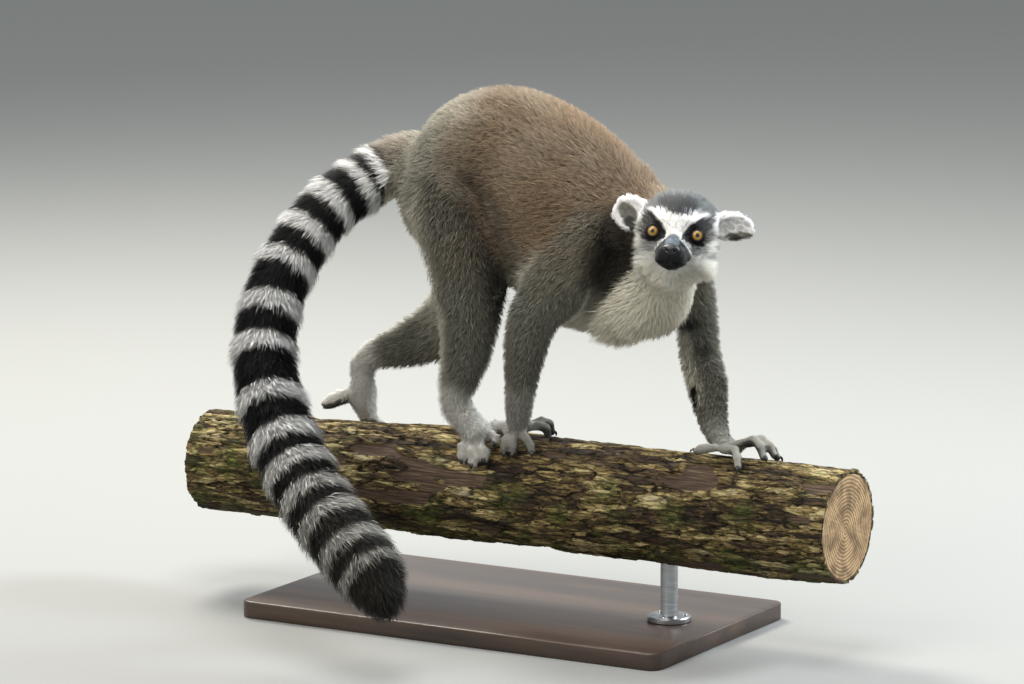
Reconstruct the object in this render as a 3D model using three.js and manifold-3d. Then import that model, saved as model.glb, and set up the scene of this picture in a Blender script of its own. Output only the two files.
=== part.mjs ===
// A ring-tailed lemur walking along a cut length of log, life size, with its head turned to its own right.
// Millimetres. +X is the way it walks, +Y is its left, +Z is up, and the floor is Z = 0.
// Each limb, the tail and the trunk is a loft through a few named stations, out to the tips of the coat.
import * as THREE from "three";
import { mergeVertices } from "three/addons/utils/BufferGeometryUtils.js";
import Module from "manifold-3d";

const wasm = await Module();
wasm.setup();

// Driving sizes
const GAP = 0.3; // clearance between neighbouring pieces
const LOG = { height: 122, radius: 52, taper: 0.014, back: -330, front: 345 }; // height is that of its axis
const BASE = { length: 440, width: 250, thick: 16, corner: 12 };
const ROD = { radius: 8, apart: 330, flange: 20, flangeThick: 5 };
const EYE = { radius: 7.8, side: 19.5 };
const FINGER = 3.8; // half the thickness of a finger
const TOE = 4.4;
const EAR_ROOT = { back: 27, side: 28, up: 8 }; // from the point midway between the eyes
const SLIT = { elbow: 40, wrist: 22, knee: 58, ankle: 32, tail: 42 }; // radius of the cut at each joint
const SCRAP = 500; // cubic millimetres; a smaller piece of a parted limb is not a stretch of it

// Colours
const GREY_COAT = 0x77746d;
const BROWN_COAT = 0x7d6552;
const WHITE_COAT = 0xe4e0d4;
const CREAM_COAT = 0xcfc6ad;
const DARK_COAT = 0x26262a;
const AMBER = 0xb9771f;
const BARK = 0x6b553c;
const PLINTH = 0x2a2725;
const STEEL = 0x8c8f92;

const ACROSS = new THREE.Vector3(0, 1, 0);
const AHEAD = new THREE.Vector3(1, 0, 0);
const SIDES = ["right", "left"];
const group = new THREE.Group();

// ---- Building blocks ----

// A place by its height over the middle of the log's front end.
const at = (x, y, height) => new THREE.Vector3(x, y, LOG.height + height);

// A closed three.js geometry as a solid, and back.
function solid(geometry) {
  const bare = new THREE.BufferGeometry().setAttribute("position", geometry.getAttribute("position"));
  if (geometry.index) bare.setIndex(geometry.index);
  const merged = mergeVertices(bare, 1e-3);
  const vertProperties = new Float32Array(merged.getAttribute("position").array);
  const triVerts = new Uint32Array(merged.index.array);
  return new wasm.Manifold(new wasm.Mesh({ numProp: 3, vertProperties, triVerts }));
}

function geometryOf(body) {
  const mesh = body.getMesh();
  const geometry = new THREE.BufferGeometry();
  geometry.setAttribute("position", new THREE.BufferAttribute(new Float32Array(mesh.vertProperties), 3));
  geometry.setIndex(new THREE.BufferAttribute(new Uint32Array(mesh.triVerts), 1));
  return geometry;
}

function add(name, body, colour, roughness = 0.9, metalness = 0) {
  const mesh = new THREE.Mesh(
    geometryOf(body),
    new THREE.MeshStandardMaterial({ color: colour, roughness, metalness }),
  );
  mesh.name = name;
  group.add(mesh);
}

// A smooth closed loft. Each station is [centre, wide, deep]: half the size along `side`, and half the
// size across both it and the path. Both ends are domed. The sections stand square to the path, or all
// square to `plane` where that is given, and `grow` swells the whole solid.
function loft(stations, options) {
  const { rings = 12, sides = 12, side = ACROSS, plane = null, grow = 0, dome = 0.6, caps = 2 } = options;
  const path = new THREE.CatmullRomCurve3(stations.map((s) => s[0]), false, "centripetal");
  const sizes = new THREE.CatmullRomCurve3(stations.map((s) => new THREE.Vector3(s[1], s[2] ?? s[1], 0)));
  const sections = [];
  const place = (t, out, scale) => {
    const centre = path.getPoint(t);
    const along = plane ? plane.clone() : path.getTangent(t);
    const across = side.clone().addScaledVector(along, -side.dot(along)).normalize();
    const over = along.clone().cross(across);
    const size = sizes.getPoint(t);
    centre.addScaledVector(along, out * Math.min(size.x, size.y) * dome + Math.sign(out) * grow);
    sections.push({ centre, across, over, wide: (size.x + grow) * scale, deep: (size.y + grow) * scale });
  };
  const domes = Array.from({ length: caps }, (_, i) => (Math.PI / 2) * (1 - i / caps));
  for (const a of domes) place(0, -Math.sin(a), Math.cos(a));
  for (let i = 0; i <= rings; i++) place(i / rings, 0, 1);
  for (const a of domes.toReversed()) place(1, Math.sin(a), Math.cos(a));

  const points = [sections[0].centre];
  const inner = sections.slice(1, -1);
  for (const s of inner) {
    for (let j = 0; j < sides; j++) {
      const angle = (2 * Math.PI * j) / sides;
      points.push(
        s.centre.clone()
          .addScaledVector(s.across, s.wide * Math.cos(angle))
          .addScaledVector(s.over, s.deep * Math.sin(angle)),
      );
    }
  }
  points.push(sections.at(-1).centre);
  const faces = [];
  const ring = (i, j) => 1 + i * sides + (j % sides);
  const end = points.length - 1;
  for (let j = 0; j < sides; j++) {
    faces.push(0, ring(0, j + 1), ring(0, j));
    faces.push(end, ring(inner.length - 1, j), ring(inner.length - 1, j + 1));
    for (let i = 0; i < inner.length - 1; i++) {
      faces.push(ring(i, j), ring(i, j + 1), ring(i + 1, j + 1));
      faces.push(ring(i, j), ring(i + 1, j + 1), ring(i + 1, j));
    }
  }
  const geometry = new THREE.BufferGeometry().setFromPoints(points);
  geometry.setIndex(faces);
  return solid(geometry);
}

const largest = (body) => body.decompose().sort((a, b) => b.volume() - a.volume())[0];

// ---- The log, its rods and the base ----

// The log is a cut branch that thins towards its back end, level along its underside, with slow swells.
const thinning = (x) => LOG.taper * Math.max(0, -x);
const logRadius = (x) => LOG.radius - thinning(x);
const logAxis = (x) => LOG.height - thinning(x);

function logSolid(grow) {
  const sides = 20;
  const rings = 5;
  const points = [];
  for (let i = 0; i <= rings; i++) {
    const x = LOG.back + ((LOG.front - LOG.back) * i) / rings;
    for (let j = 0; j < sides; j++) {
      const angle = (2 * Math.PI * j) / sides;
      const swell = 0.8 * Math.sin(x / 47 + 2 * angle) + 0.7 * Math.sin(x / 83 - 3 * angle);
      const radius = logRadius(x) + swell + grow;
      points.push(new THREE.Vector3(x, radius * Math.cos(angle), logAxis(x) + radius * Math.sin(angle)));
    }
  }
  const backEnd = points.push(new THREE.Vector3(LOG.back, 0, logAxis(LOG.back))) - 1;
  const frontEnd = points.push(new THREE.Vector3(LOG.front, 0, logAxis(LOG.front))) - 1;
  const faces = [];
  const ring = (i, j) => i * sides + (j % sides);
  for (let j = 0; j < sides; j++) {
    faces.push(backEnd, ring(0, j + 1), ring(0, j));
    faces.push(frontEnd, ring(rings, j), ring(rings, j + 1));
    for (let i = 0; i < rings; i++) {
      faces.push(ring(i, j), ring(i, j + 1), ring(i + 1, j + 1));
      faces.push(ring(i, j), ring(i + 1, j + 1), ring(i + 1, j));
    }
  }
  const geometry = new THREE.BufferGeometry().setFromPoints(points);
  geometry.setIndex(faces);
  return solid(geometry);
}

function baseSolid() {
  const { length, width, thick, corner } = BASE;
  const outline = new THREE.Shape();
  const [x, y] = [length / 2 - corner, width / 2 - corner];
  outline.absarc(x, y, corner, 0, Math.PI / 2);
  outline.absarc(-x, y, corner, Math.PI / 2, Math.PI);
  outline.absarc(-x, -y, corner, Math.PI, 1.5 * Math.PI);
  outline.absarc(x, -y, corner, 1.5 * Math.PI, 2 * Math.PI);
  const options = { depth: thick, bevelEnabled: false, curveSegments: 3 };
  return solid(new THREE.ExtrudeGeometry(outline, options));
}

// A steel rod with a flange on the base, cut to the log's underside.
function rodSolid(x) {
  const floor = BASE.thick + GAP;
  const profile = [
    [0, floor],
    [ROD.flange, floor],
    [ROD.flange, floor + ROD.flangeThick],
    [ROD.radius, floor + ROD.flangeThick],
    [ROD.radius, LOG.height - LOG.radius / 2],
    [0, LOG.height - LOG.radius / 2],
  ].map(([r, z]) => new THREE.Vector2(r, z));
  const geometry = new THREE.LatheGeometry(profile, 12);
  geometry.rotateX(Math.PI / 2);
  geometry.translate(x, 0, 0);
  return solid(geometry).subtract(logSolid(GAP));
}

const logGrown = logSolid(GAP);
add("perch_log", logSolid(0), BARK, 0.95);
add("stand_base", baseSolid(), PLINTH, 0.5);
add("stand_rod_back", rodSolid(-ROD.apart / 2), STEEL, 0.35, 0.9);
add("stand_rod_front", rodSolid(ROD.apart / 2), STEEL, 0.35, 0.9);

// ---- Trunk: high rump, arched loin, and a deep chest slung low between the arms ----

// Upright sections from rump to breast: [x, top, bottom, half the width].
const trunkSections = [
  [-97, 326, 222, 36],
  [-80, 350, 206, 44],
  [-54, 366, 208, 50],
  [-20, 377, 205, 55],
  [20, 377, 176, 59],
  [58, 365, 152, 59],
  [92, 348, 147, 55],
  [118, 330, 146, 49],
  [138, 312, 151, 41],
  [149, 298, 160, 33],
];
const trunkSolid = (grow) =>
  loft(
    trunkSections.map(([x, top, bottom, wide]) => [at(x, 0, (top + bottom) / 2), wide, (top - bottom) / 2]),
    { rings: 14, sides: 16, plane: AHEAD, grow, dome: 0.42 },
  );
const trunk = trunkSolid(0);
const trunkGrown = trunkSolid(GAP);

// ---- Head, in its own frame: forward, left and up from the point midway between the eyes ----

const headForward = new THREE.Vector3(0.399, -0.9, 0.173).normalize();
const headUp = new THREE.Vector3(0.004, 0.2, 0.98);
headUp.addScaledVector(headForward, -headUp.dot(headForward)).normalize();
const headLeft = headUp.clone().cross(headForward);
const headTurn = new THREE.Matrix4().makeBasis(headForward, headLeft, headUp);
const onHead = (forward, left, up) =>
  new THREE.Vector3(forward, left, up).applyMatrix4(headTurn).add(at(203, -62, 262));

function ellipsoid(centre, radii, { grow = 0, across = 16, up = 9 } = {}) {
  const geometry = new THREE.SphereGeometry(1, across, up);
  geometry.scale(...radii.map((r) => r + grow));
  geometry.applyMatrix4(headTurn);
  geometry.translate(...centre);
  return solid(geometry);
}

function headSolid(grow) {
  const braincase = ellipsoid(onHead(-27, 0, 7.5), [41, 36, 31.5], { grow });
  const cheeks = ellipsoid(onHead(-20, 0, -12), [29, 36, 25], { grow, across: 14, up: 7 });
  const muzzle = loft(
    [
      [onHead(-8, 0, -8), 24, 20], // below the eyes
      [onHead(8, 0, -14), 18, 17.5], // bridge
      [onHead(22, 0, -19), 14.5, 15], // whisker pads
      [onHead(33, 0, -20), 12, 12], // nose
    ],
    { rings: 5, side: headLeft, grow, dome: 0.4 },
  );
  return braincase.add(cheeks).add(muzzle);
}

const eyePlaces = { right: onHead(0, -EYE.side, 0), left: onHead(0, EYE.side, 0) };
const eyeSolid = (side, grow) =>
  ellipsoid(eyePlaces[side], [EYE.radius, EYE.radius, EYE.radius], { grow, across: 10, up: 6 });
// Each eye sits in a shallow socket that opens forward.
const socket = (sign) =>
  ellipsoid(onHead(8, sign * (EYE.side + 1), 0.5), [9, 9.5, 8.5], { across: 8, up: 5 });
const headGrown = headSolid(GAP);
const faceHollows = [eyeSolid("right", GAP), eyeSolid("left", GAP), socket(-1), socket(1)];
add("head", faceHollows.reduce((body, hollow) => body.subtract(hollow), headSolid(0)), GREY_COAT);
for (const side of SIDES) add(`eye_${side}`, eyeSolid(side, 0), AMBER, 0.1);

// An ear is a leaf with a bowl taken out of its front. `out`, `up` and `back` give the way it points from
// its root on the head, and `turn` how far round to the side its bowl faces.
const ears = {
  right: { sign: -1, out: 1, up: 0.36, back: 0.1, turn: 0.2, long: 1.08, wide: 1.06 },
  left: { sign: 1, out: 1, up: 0.05, back: 0.1, turn: 0.62, long: 1.28, wide: 0.88 },
};
function earSolid({ sign, out, up, back, turn, long, wide }, grow) {
  const axis = new THREE.Vector3(-back, sign * out, up).normalize();
  const face = new THREE.Vector3(Math.cos(turn), sign * Math.sin(turn), 0);
  face.addScaledVector(axis, -face.dot(axis)).normalize();
  const side = face.clone().cross(axis).transformDirection(headTurn);
  const along = (distance, forward) =>
    onHead(
      -EAR_ROOT.back + axis.x * distance * long + face.x * forward,
      sign * EAR_ROOT.side + axis.y * distance * long + face.y * forward,
      EAR_ROOT.up + axis.z * distance * long + face.z * forward,
    );
  const leaf = [
    [along(2, 0), 15 * wide, 8], // root
    [along(12, 0), 19 * wide, 6.5], // fullest
    [along(22, 0), 17 * wide, 5],
    [along(28, 0), 11 * wide, 3.6], // tip
  ];
  const bowl = [
    [along(8, 6), 10 * wide, 6],
    [along(14, 6), 14 * wide, 6.2],
    [along(21, 5.5), 12.5 * wide, 5],
    [along(26, 5), 7.5 * wide, 3.6],
  ];
  const shell = loft(leaf, { rings: 4, sides: 10, side, grow, dome: 0.8 });
  return grow > 0 ? shell : shell.subtract(loft(bowl, { rings: 3, sides: 8, side }));
}
for (const side of SIDES) {
  add(`ear_${side}`, largest(earSolid(ears[side], 0).subtract(headGrown)), WHITE_COAT);
}
const earsGrown = SIDES.map((side) => earSolid(ears[side], GAP));

// ---- Neck and throat ----

function neckSolid(grow) {
  const nape = [
    [at(112, 0, 258), 44, 54], // inside the shoulders
    [at(146, -6, 255), 36, 43],
    [at(170, -16, 253), 31, 38],
    [at(185, -30, 251), 27, 33], // under the skull
  ];
  const throat = [
    [at(184, -38, 236), 25, 22],
    [at(170, -22, 208), 35, 31],
    [at(144, -6, 182), 38, 34], // breast
  ];
  return loft(nape, { rings: 4, grow }).add(loft(throat, { rings: 3, grow }));
}
const neckGrown = neckSolid(GAP);
const neckFree = earsGrown.reduce((body, other) => body.subtract(other), neckSolid(0));
add("neck", largest(neckFree.subtract(trunkGrown).subtract(headGrown)), CREAM_COAT);
add("trunk", trunk, BROWN_COAT);

// ---- Tail: out from the rump, round to the right and down past the log ----

const tailStations = [
  [at(-92, 8, 300), 29],
  [at(-119, 0, 294), 30.5],
  [at(-138, -21, 281), 30.5],
  [at(-160, -53, 259), 30],
  [at(-174, -81, 229), 30.5],
  [at(-180, -120, 187), 31],
  [at(-171, -154, 137), 32],
  [at(-143, -184, 92), 34],
  [at(-110, -205, 52), 35],
  [at(-63, -230, 13), 36],
  [at(-22, -246, -15), 36],
  [at(4, -256, -33), 34],
  [at(18, -264, -45), 27], // the tuft at the tip
];
const tailPath = new THREE.CatmullRomCurve3(tailStations.map((s) => s[0]), false, "centripetal");
const tailJoints = [0.24, 0.42, 0.6, 0.78]; // shares of its length where one stretch ends

// ---- Hands and feet grip the log, so a digit's joints are set by the length along the log, the angle
// round from its top to the right, in degrees, and the height over the bark ----

const TIP = 4; // how far the middle of a fingertip stays over the bark
function grip([x, degrees, lift]) {
  const angle = (degrees * Math.PI) / 180;
  const radius = logRadius(x) + lift;
  return new THREE.Vector3(x, -radius * Math.sin(angle), logAxis(x) + radius * Math.cos(angle));
}

const SKEW = new THREE.Vector3(0.31, 0.22, 0.1); // no digit runs this way
function digitSolid(joints, thick) {
  const stations = joints.map((joint, i) => [joint, thick * (1 - 0.07 * i)]);
  return loft(stations, { rings: 3, sides: 6, side: SKEW, dome: 0.7, caps: 1 });
}

const hands = {
  right: [
    [[24, 12, 13], [33, 3, 15], [38, -2, 12], [40, -4, TIP]], // thumb
    [[25, 18, 13], [36, 12, 14], [42, 9, 11], [44, 10, TIP]],
    [[24, 22, 13], [33, 30, 12], [39, 34, 8], [41, 38, TIP]],
    [[20, 24, 13], [21, 33, 12], [23, 37, 8], [23, 41, TIP]],
    [[17, 24, 13], [14, 34, 12], [14, 38, 8], [14, 41, TIP]],
  ],
  left: [
    [[214, 8, 9], [208, 11, 9], [204, 13, 9], [199, 14, 6]], // thumb
    [[222, 6, 8], [238, 12, 11], [246, 22, 9], [249, 29, TIP]],
    [[224, 2, 9], [250, 0, 18], [258, 2, 13], [263, 5, TIP]],
    [[224, -6, 9], [254, -6, 18], [263, -5, 13], [270, -4, TIP]],
    [[220, -14, 9], [245, -18, 15], [256, -24, 11], [261, -28, TIP]],
  ],
};
const feet = {
  right: [
    [[-16, 26, 13], [-8, 19, 14], [2, 16, 12], [8, 19, TIP]], // great toe
    [[-14, 32, 12], [-7, 28, 13], [-3, 29, 10], [-2, 31, TIP]],
    [[-13, 36, 13], [-8, 42, 12], [-5, 46, 8], [-4, 50, TIP]],
    [[-18, 37, 13], [-16, 46, 12], [-14, 52, 7], [-14, 57, TIP]],
    [[-23, 37, 13], [-25, 44, 12], [-26, 49, 7], [-26, 53, TIP]],
  ],
  left: [
    [[-186, -25, 32], [-197, -23, 23], [-207, -21, 18], [-214, -21, 14]], // great toe
    [[-172, -44, 9], [-168, -54, 11], [-166, -64, 8], [-165, -72, TIP]],
    [[-176, -46, 9], [-175, -58, 11], [-174, -70, 8], [-174, -79, TIP]],
    [[-180, -46, 9], [-182, -58, 11], [-183, -70, 8], [-183, -80, TIP]],
    [[-184, -44, 9], [-188, -54, 11], [-189, -64, 8], [-189, -73, TIP]],
  ],
};

// ---- Arms ----

const arms = {
  right: {
    stations: [
      [at(104, -34, 252), 30, 42], // shoulder
      [at(80, -46, 213), 27, 36],
      [at(51, -50, 172), 24, 28], // elbow
      [at(41, -47, 141), 20, 23],
      [at(33, -41, 107), 15, 17],
      [at(26, -33, 82), 12.5, 14.5], // wrist
      [at(21, -25, 66), 13, 11], // palm
    ],
    joints: [at(50, -50, 168), at(27, -34, 86)],
  },
  left: {
    stations: [
      [at(148, 30, 232), 28, 34], // shoulder
      [at(170, 38, 183), 22, 24],
      [at(173, 36, 147), 20, 22], // elbow
      [at(187, 29, 112), 18, 22],
      [at(197, 20, 86), 15, 17],
      [at(205, 13, 71), 14, 13], // wrist
      [at(216, 8, 61), 14, 8], // palm
      [at(232, 2, 59), 12, 6.5],
    ],
    joints: [at(174, 36, 145), at(202, 15, 77)],
  },
};

// ---- Legs: the right foot has just landed, and the left one is pushing off behind ----

const legs = {
  right: {
    stations: [
      [at(-55, -26, 276), 30, 46], // hip
      [at(-34, -38, 246), 32, 46], // thigh
      [at(-19, -43, 199), 30, 41], // knee
      [at(-19, -44, 150), 25, 30], // calf
      [at(-25, -44, 122), 20, 25],
      [at(-34, -42, 98), 16, 19],
      [at(-38, -41, 84), 14, 17], // heel
      [at(-25, -38, 67), 15, 15],
      [at(-14, -36, 56), 17, 12], // sole
    ],
    joints: [at(-19, -43, 176), at(-36, -41, 94)],
  },
  left: {
    stations: [
      [at(-78, 25, 262), 30, 42], // hip
      [at(-74, 42, 210), 28, 44], // thigh
      [at(-85, 51, 155), 26, 36], // knee
      [at(-118, 53, 125), 22, 32], // calf
      [at(-150, 50, 111), 18, 23],
      [at(-180, 46, 101), 13, 16],
      [at(-190, 42, 92), 12, 13], // heel
      [at(-184, 38, 76), 13, 12],
      [at(-179, 35, 58), 14, 10],
      [at(-178, 38, 44), 14, 9], // sole
    ],
    joints: [at(-87, 51, 151), at(-186, 44, 97)],
  },
};

// A thin disc across a limb at a joint, square to the way the limb runs there.
function slit(centre, along, radius) {
  const geometry = new THREE.CylinderGeometry(radius, radius, GAP, 24);
  const up = new THREE.Vector3(0, 1, 0);
  geometry.applyQuaternion(new THREE.Quaternion().setFromUnitVectors(up, along.clone().normalize()));
  geometry.translate(...centre);
  return solid(geometry);
}

function middle(body) {
  const box = body.boundingBox();
  return new THREE.Vector3(...box.min).add(new THREE.Vector3(...box.max)).multiplyScalar(0.5);
}

// Parts a body at its slits and names each stretch by the place that its middle is nearest to.
function addParted(body, slits, stretches) {
  const cut = slits.reduce((rest, disc) => rest.subtract(disc), body);
  const pieces = cut.decompose();
  for (const [name, place, colour] of stretches) {
    pieces.sort((a, b) => middle(a).distanceTo(place) - middle(b).distanceTo(place));
    add(name, pieces.find((piece) => piece.volume() > SCRAP), colour);
  }
}

function limbSlit({ stations }, place, radius) {
  const path = new THREE.CatmullRomCurve3(stations.map((s) => s[0]), false, "centripetal");
  const shares = Array.from({ length: 101 }, (_, i) => i / 100);
  const away = (t) => path.getPoint(t).distanceTo(place);
  const nearest = shares.reduce((best, t) => (away(t) < away(best) ? t : best));
  return slit(path.getPoint(nearest), path.getTangent(nearest), radius);
}

function limbSolid(limb, digits, thick) {
  const whole = loft(limb.stations, { rings: 9, sides: 11, dome: 0.5 });
  return digits
    .reduce((body, joints) => body.add(digitSolid(joints.map(grip), thick)), whole)
    .subtract(logGrown);
}

for (const side of SIDES) {
  const arm = arms[side];
  const leg = legs[side];
  const legSolid = limbSolid(leg, feet[side], TOE);
  const armSolid = limbSolid(arm, hands[side], FINGER).subtract(legSolid);
  const [elbow, wrist] = arm.joints;
  const [knee, ankle] = leg.joints;
  addParted(
    largest(armSolid.subtract(trunkGrown).subtract(neckGrown)),
    [limbSlit(arm, elbow, SLIT.elbow), limbSlit(arm, wrist, SLIT.wrist)],
    [
      [`upper_arm_${side}`, arm.stations[1][0], GREY_COAT],
      [`forearm_${side}`, elbow.clone().lerp(wrist, 0.5), GREY_COAT],
      [`hand_${side}`, arm.stations.at(-1)[0], WHITE_COAT],
    ],
  );
  addParted(
    largest(legSolid.subtract(trunkGrown)),
    [limbSlit(leg, knee, SLIT.knee), limbSlit(leg, ankle, SLIT.ankle)],
    [
      [`thigh_${side}`, leg.stations[1][0], GREY_COAT],
      [`shank_${side}`, knee.clone().lerp(ankle, 0.5), GREY_COAT],
      [`foot_${side}`, leg.stations.at(-1)[0], WHITE_COAT],
    ],
  );
}

const tail = loft(tailStations, { rings: 26, dome: 1, caps: 3 });
const ends = [0.1, ...tailJoints, 1];
addParted(
  largest(tail.subtract(trunkGrown).subtract(logGrown)),
  tailJoints.map((t) => slit(tailPath.getPointAt(t), tailPath.getTangentAt(t), SLIT.tail)),
  ends.slice(1).map((t, i) => [`tail_${i + 1}`, tailPath.getPointAt((t + ends[i]) / 2), DARK_COAT]),
);

export default group;
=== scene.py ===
# A ring-tailed lemur, life size, walking along a cut length of log on a plain display stand.
# Metres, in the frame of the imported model: +X is the way it walks, +Y is its left, +Z is up.
import math

import bpy
import numpy as np
from mathutils import Matrix, Vector


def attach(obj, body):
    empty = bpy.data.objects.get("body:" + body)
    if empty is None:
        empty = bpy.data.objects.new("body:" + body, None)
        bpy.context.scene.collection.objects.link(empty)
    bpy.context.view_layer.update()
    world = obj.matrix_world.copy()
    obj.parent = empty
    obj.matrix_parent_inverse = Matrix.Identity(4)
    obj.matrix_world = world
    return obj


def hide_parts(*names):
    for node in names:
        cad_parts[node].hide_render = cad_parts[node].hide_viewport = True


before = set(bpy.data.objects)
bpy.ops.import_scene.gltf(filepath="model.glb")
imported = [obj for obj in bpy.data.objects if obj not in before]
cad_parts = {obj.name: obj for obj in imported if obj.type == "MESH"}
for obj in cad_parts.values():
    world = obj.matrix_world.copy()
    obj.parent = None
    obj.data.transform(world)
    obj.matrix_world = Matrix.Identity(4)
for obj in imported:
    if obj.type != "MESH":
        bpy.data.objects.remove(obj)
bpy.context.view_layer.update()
MM = 0.001

# ---- Camera ----
# A long lens from the animal's right and a little in front, ten degrees above level.
TURN, TILT = math.radians(30), math.radians(10)
AIM = Vector((0, 0, 0.259))
DISTANCE = 5.0
FILM, IMAGE_WIDTH, PIXELS_PER_METRE = 36, 1024, 1090
sight = Vector((-math.sin(TURN) * math.cos(TILT), math.cos(TURN) * math.cos(TILT), -math.sin(TILT)))
sight_right = Vector((math.cos(TURN), math.sin(TURN), 0))
sight_up = sight_right.cross(sight)
bpy.ops.object.select_all(action="DESELECT")
bpy.ops.object.camera_add()
camera = bpy.context.object
axes = Matrix((sight_right, sight_up, -sight)).transposed().to_4x4()
camera.matrix_world = Matrix.Translation(AIM - DISTANCE * sight) @ axes
camera.data.lens = PIXELS_PER_METRE * DISTANCE * FILM / IMAGE_WIDTH
camera.data.sensor_width = FILM
camera.data.clip_end = 60
bpy.context.scene.camera = camera

# ---- Floor and light ----
# A pale matt studio floor, a broad soft light from the front, and two high ones behind that edge the coat.


def linear(code):
    """An sRGB hex colour as linear red, green, blue and alpha."""
    parts = [int(code[i:i + 2], 16) / 255 for i in (1, 3, 5)]
    return [p / 12.92 if p <= 0.04045 else ((p + 0.055) / 1.055) ** 2.4 for p in parts] + [1.0]


def add_node(material, kind, settings=None, **inputs):
    """A node with its settings; each input is a value, or an output socket to link from."""
    made = material.node_tree.nodes.new(kind)
    for key, value in (settings or {}).items():
        setattr(made, key, value)
    for key, value in inputs.items():
        socket = made.inputs[int(key[1:])] if key[1:].isdigit() else made.inputs[key.replace("_", " ")]
        if isinstance(value, bpy.types.NodeSocket):
            material.node_tree.links.new(value, socket)
        else:
            socket.default_value = value
    return made


def new_material(name):
    """An empty node material with only its output and surface shader."""
    material = bpy.data.materials.new(name)
    material.use_nodes = True
    return material, material.node_tree.nodes["Principled BSDF"]


def set_surface(surface, colour, roughness, **others):
    """Sets a surface shader. The colour is a hex code or a socket, and the rest are plain numbers."""
    if isinstance(colour, str):
        surface.inputs["Base Color"].default_value = linear(colour)
    else:
        surface.id_data.links.new(colour, surface.inputs["Base Color"])
    surface.inputs["Roughness"].default_value = roughness
    for name, value in others.items():
        surface.inputs[name.replace("_", " ")].default_value = value


# Matt backdrop paper: pale grey, with no gloss.
paper, surface = new_material("matt backdrop paper")
set_surface(surface, "#8b8c8a", 0.95)
bpy.ops.object.select_all(action="DESELECT")
bpy.ops.mesh.primitive_plane_add(size=24, location=(0, 0, 0))
floor = bpy.context.object
floor.name = "studio_floor"
floor.data.materials.append(paper)

world = bpy.data.worlds.new("studio")
bpy.context.scene.world = world
world.use_nodes = True
world.node_tree.nodes["Background"].inputs["Color"].default_value = linear("#e9eef0")
world.node_tree.nodes["Background"].inputs["Strength"].default_value = 0.7
# Plain view transform: the coat's whites and blacks are shown as painted, with no film curve over them.
bpy.context.scene.view_settings.view_transform = "Standard"


def soft_light(name, place, size, power, tint):
    bpy.ops.object.light_add(type="AREA", location=place)
    light = bpy.context.object
    light.name = name
    light.data.size = size
    light.data.energy = power
    light.data.color = linear(tint)[:3]
    light.rotation_euler = (AIM - Vector(place)).to_track_quat("-Z", "Y").to_euler()


soft_light("front_fill", (-0.7, -2.7, 2.3), 1.8, 66, "#fff8ee")
soft_light("high_back_left", (-1.5, 1.0, 2.1), 0.9, 96, "#fffaf0")
soft_light("high_back_right", (1.5, 1.4, 1.5), 0.8, 72, "#f4f9ff")
soft_light("overhead", (0.1, -0.5, 2.6), 1.2, 44, "#ffffff")

# ---- Perch: the log ----
# A cut length of a dead branch with its bark on: flaky plates that lie along it over dark cracks, a few
# places where the bark has come away from the wood, and moss low down. Both ends are sawn.
LOG_HEIGHT, LOG_RADIUS, LOG_TAPER = 0.122, 0.052, 0.014
LOG_BACK, LOG_FRONT = -0.330, 0.345
LOG_MIDDLE, LOG_HALF = (LOG_BACK + LOG_FRONT) / 2, (LOG_FRONT - LOG_BACK) / 2


def hashed(cells, seed):
    """A repeatable random number from 0 to 1 for each whole-numbered cell."""
    mixed = cells @ np.array([374761393, 668265263, 2147483629]) + seed * 974634777
    mixed = (mixed ^ (mixed >> 13)) * 1274126177 & 0x7FFFFFFFFFFF
    mixed = (mixed ^ (mixed >> 16)) * 2246822519 & 0x7FFFFFFFFFFF
    return ((mixed ^ (mixed >> 15)) & 0xFFFFFF) / 0xFFFFFF


def noise(points, seed, octaves=1):
    """Smooth noise from -1 to 1, with finer octaves at half the size and strength."""
    total, strength, reach = 0.0, 1.0, 0.0
    for octave in range(octaves):
        cells = np.floor(points).astype(np.int64)
        part = points - cells
        ease = part * part * (3 - 2 * part)
        value = 0.0
        for corner in np.ndindex(2, 2, 2):
            share = np.prod(np.where(corner, ease, 1 - ease), axis=-1)
            value = value + share * hashed(cells + np.array(corner), seed + octave)
        total = total + strength * (value * 2 - 1)
        reach += strength
        strength *= 0.5
        points = points * 2.03
    return total / reach


def nearest_seed(points, seed):
    """For each point the vector to the nearest scattered seed, how much further the second nearest is,
    and a random number of the nearest seed's own."""
    home = np.floor(points).astype(np.int64)
    best = np.full(len(points), 9.0)
    second = np.full(len(points), 9.0)
    toward = np.zeros_like(points)
    own = np.zeros(len(points))
    for corner in np.ndindex(3, 3, 3):
        cells = home + np.array(corner) - 1
        jitter = np.stack([hashed(cells, seed + k) for k in range(3)], axis=-1)
        offset = cells + jitter - points
        away = np.linalg.norm(offset, axis=1)
        nearer = away < best
        second = np.where(nearer, best, np.minimum(second, away))
        best = np.where(nearer, away, best)
        toward[nearer] = offset[nearer]
        own[nearer] = hashed(cells, seed + 7)[nearer]
    return toward, second - best, own


def step(low, high, value):
    """A smooth step from 0 at low to 1 at high."""
    t = np.clip((value - low) / (high - low), 0, 1)
    return t * t * (3 - 2 * t)


def get_points(mesh):
    flat = np.empty(len(mesh.vertices) * 3)
    mesh.vertices.foreach_get("co", flat)
    return flat.reshape(-1, 3)


def set_points(mesh, points):
    mesh.vertices.foreach_set("co", np.ascontiguousarray(points, dtype=np.float32).ravel())
    mesh.update()


def set_attribute(mesh, name, kind, values):
    """Stores one number or colour for each vertex."""
    made = mesh.attributes.new(name, kind, "POINT")
    field = "color" if kind == "FLOAT_COLOR" else "value"
    made.data.foreach_set(field, np.asarray(values, np.float32).ravel())


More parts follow.
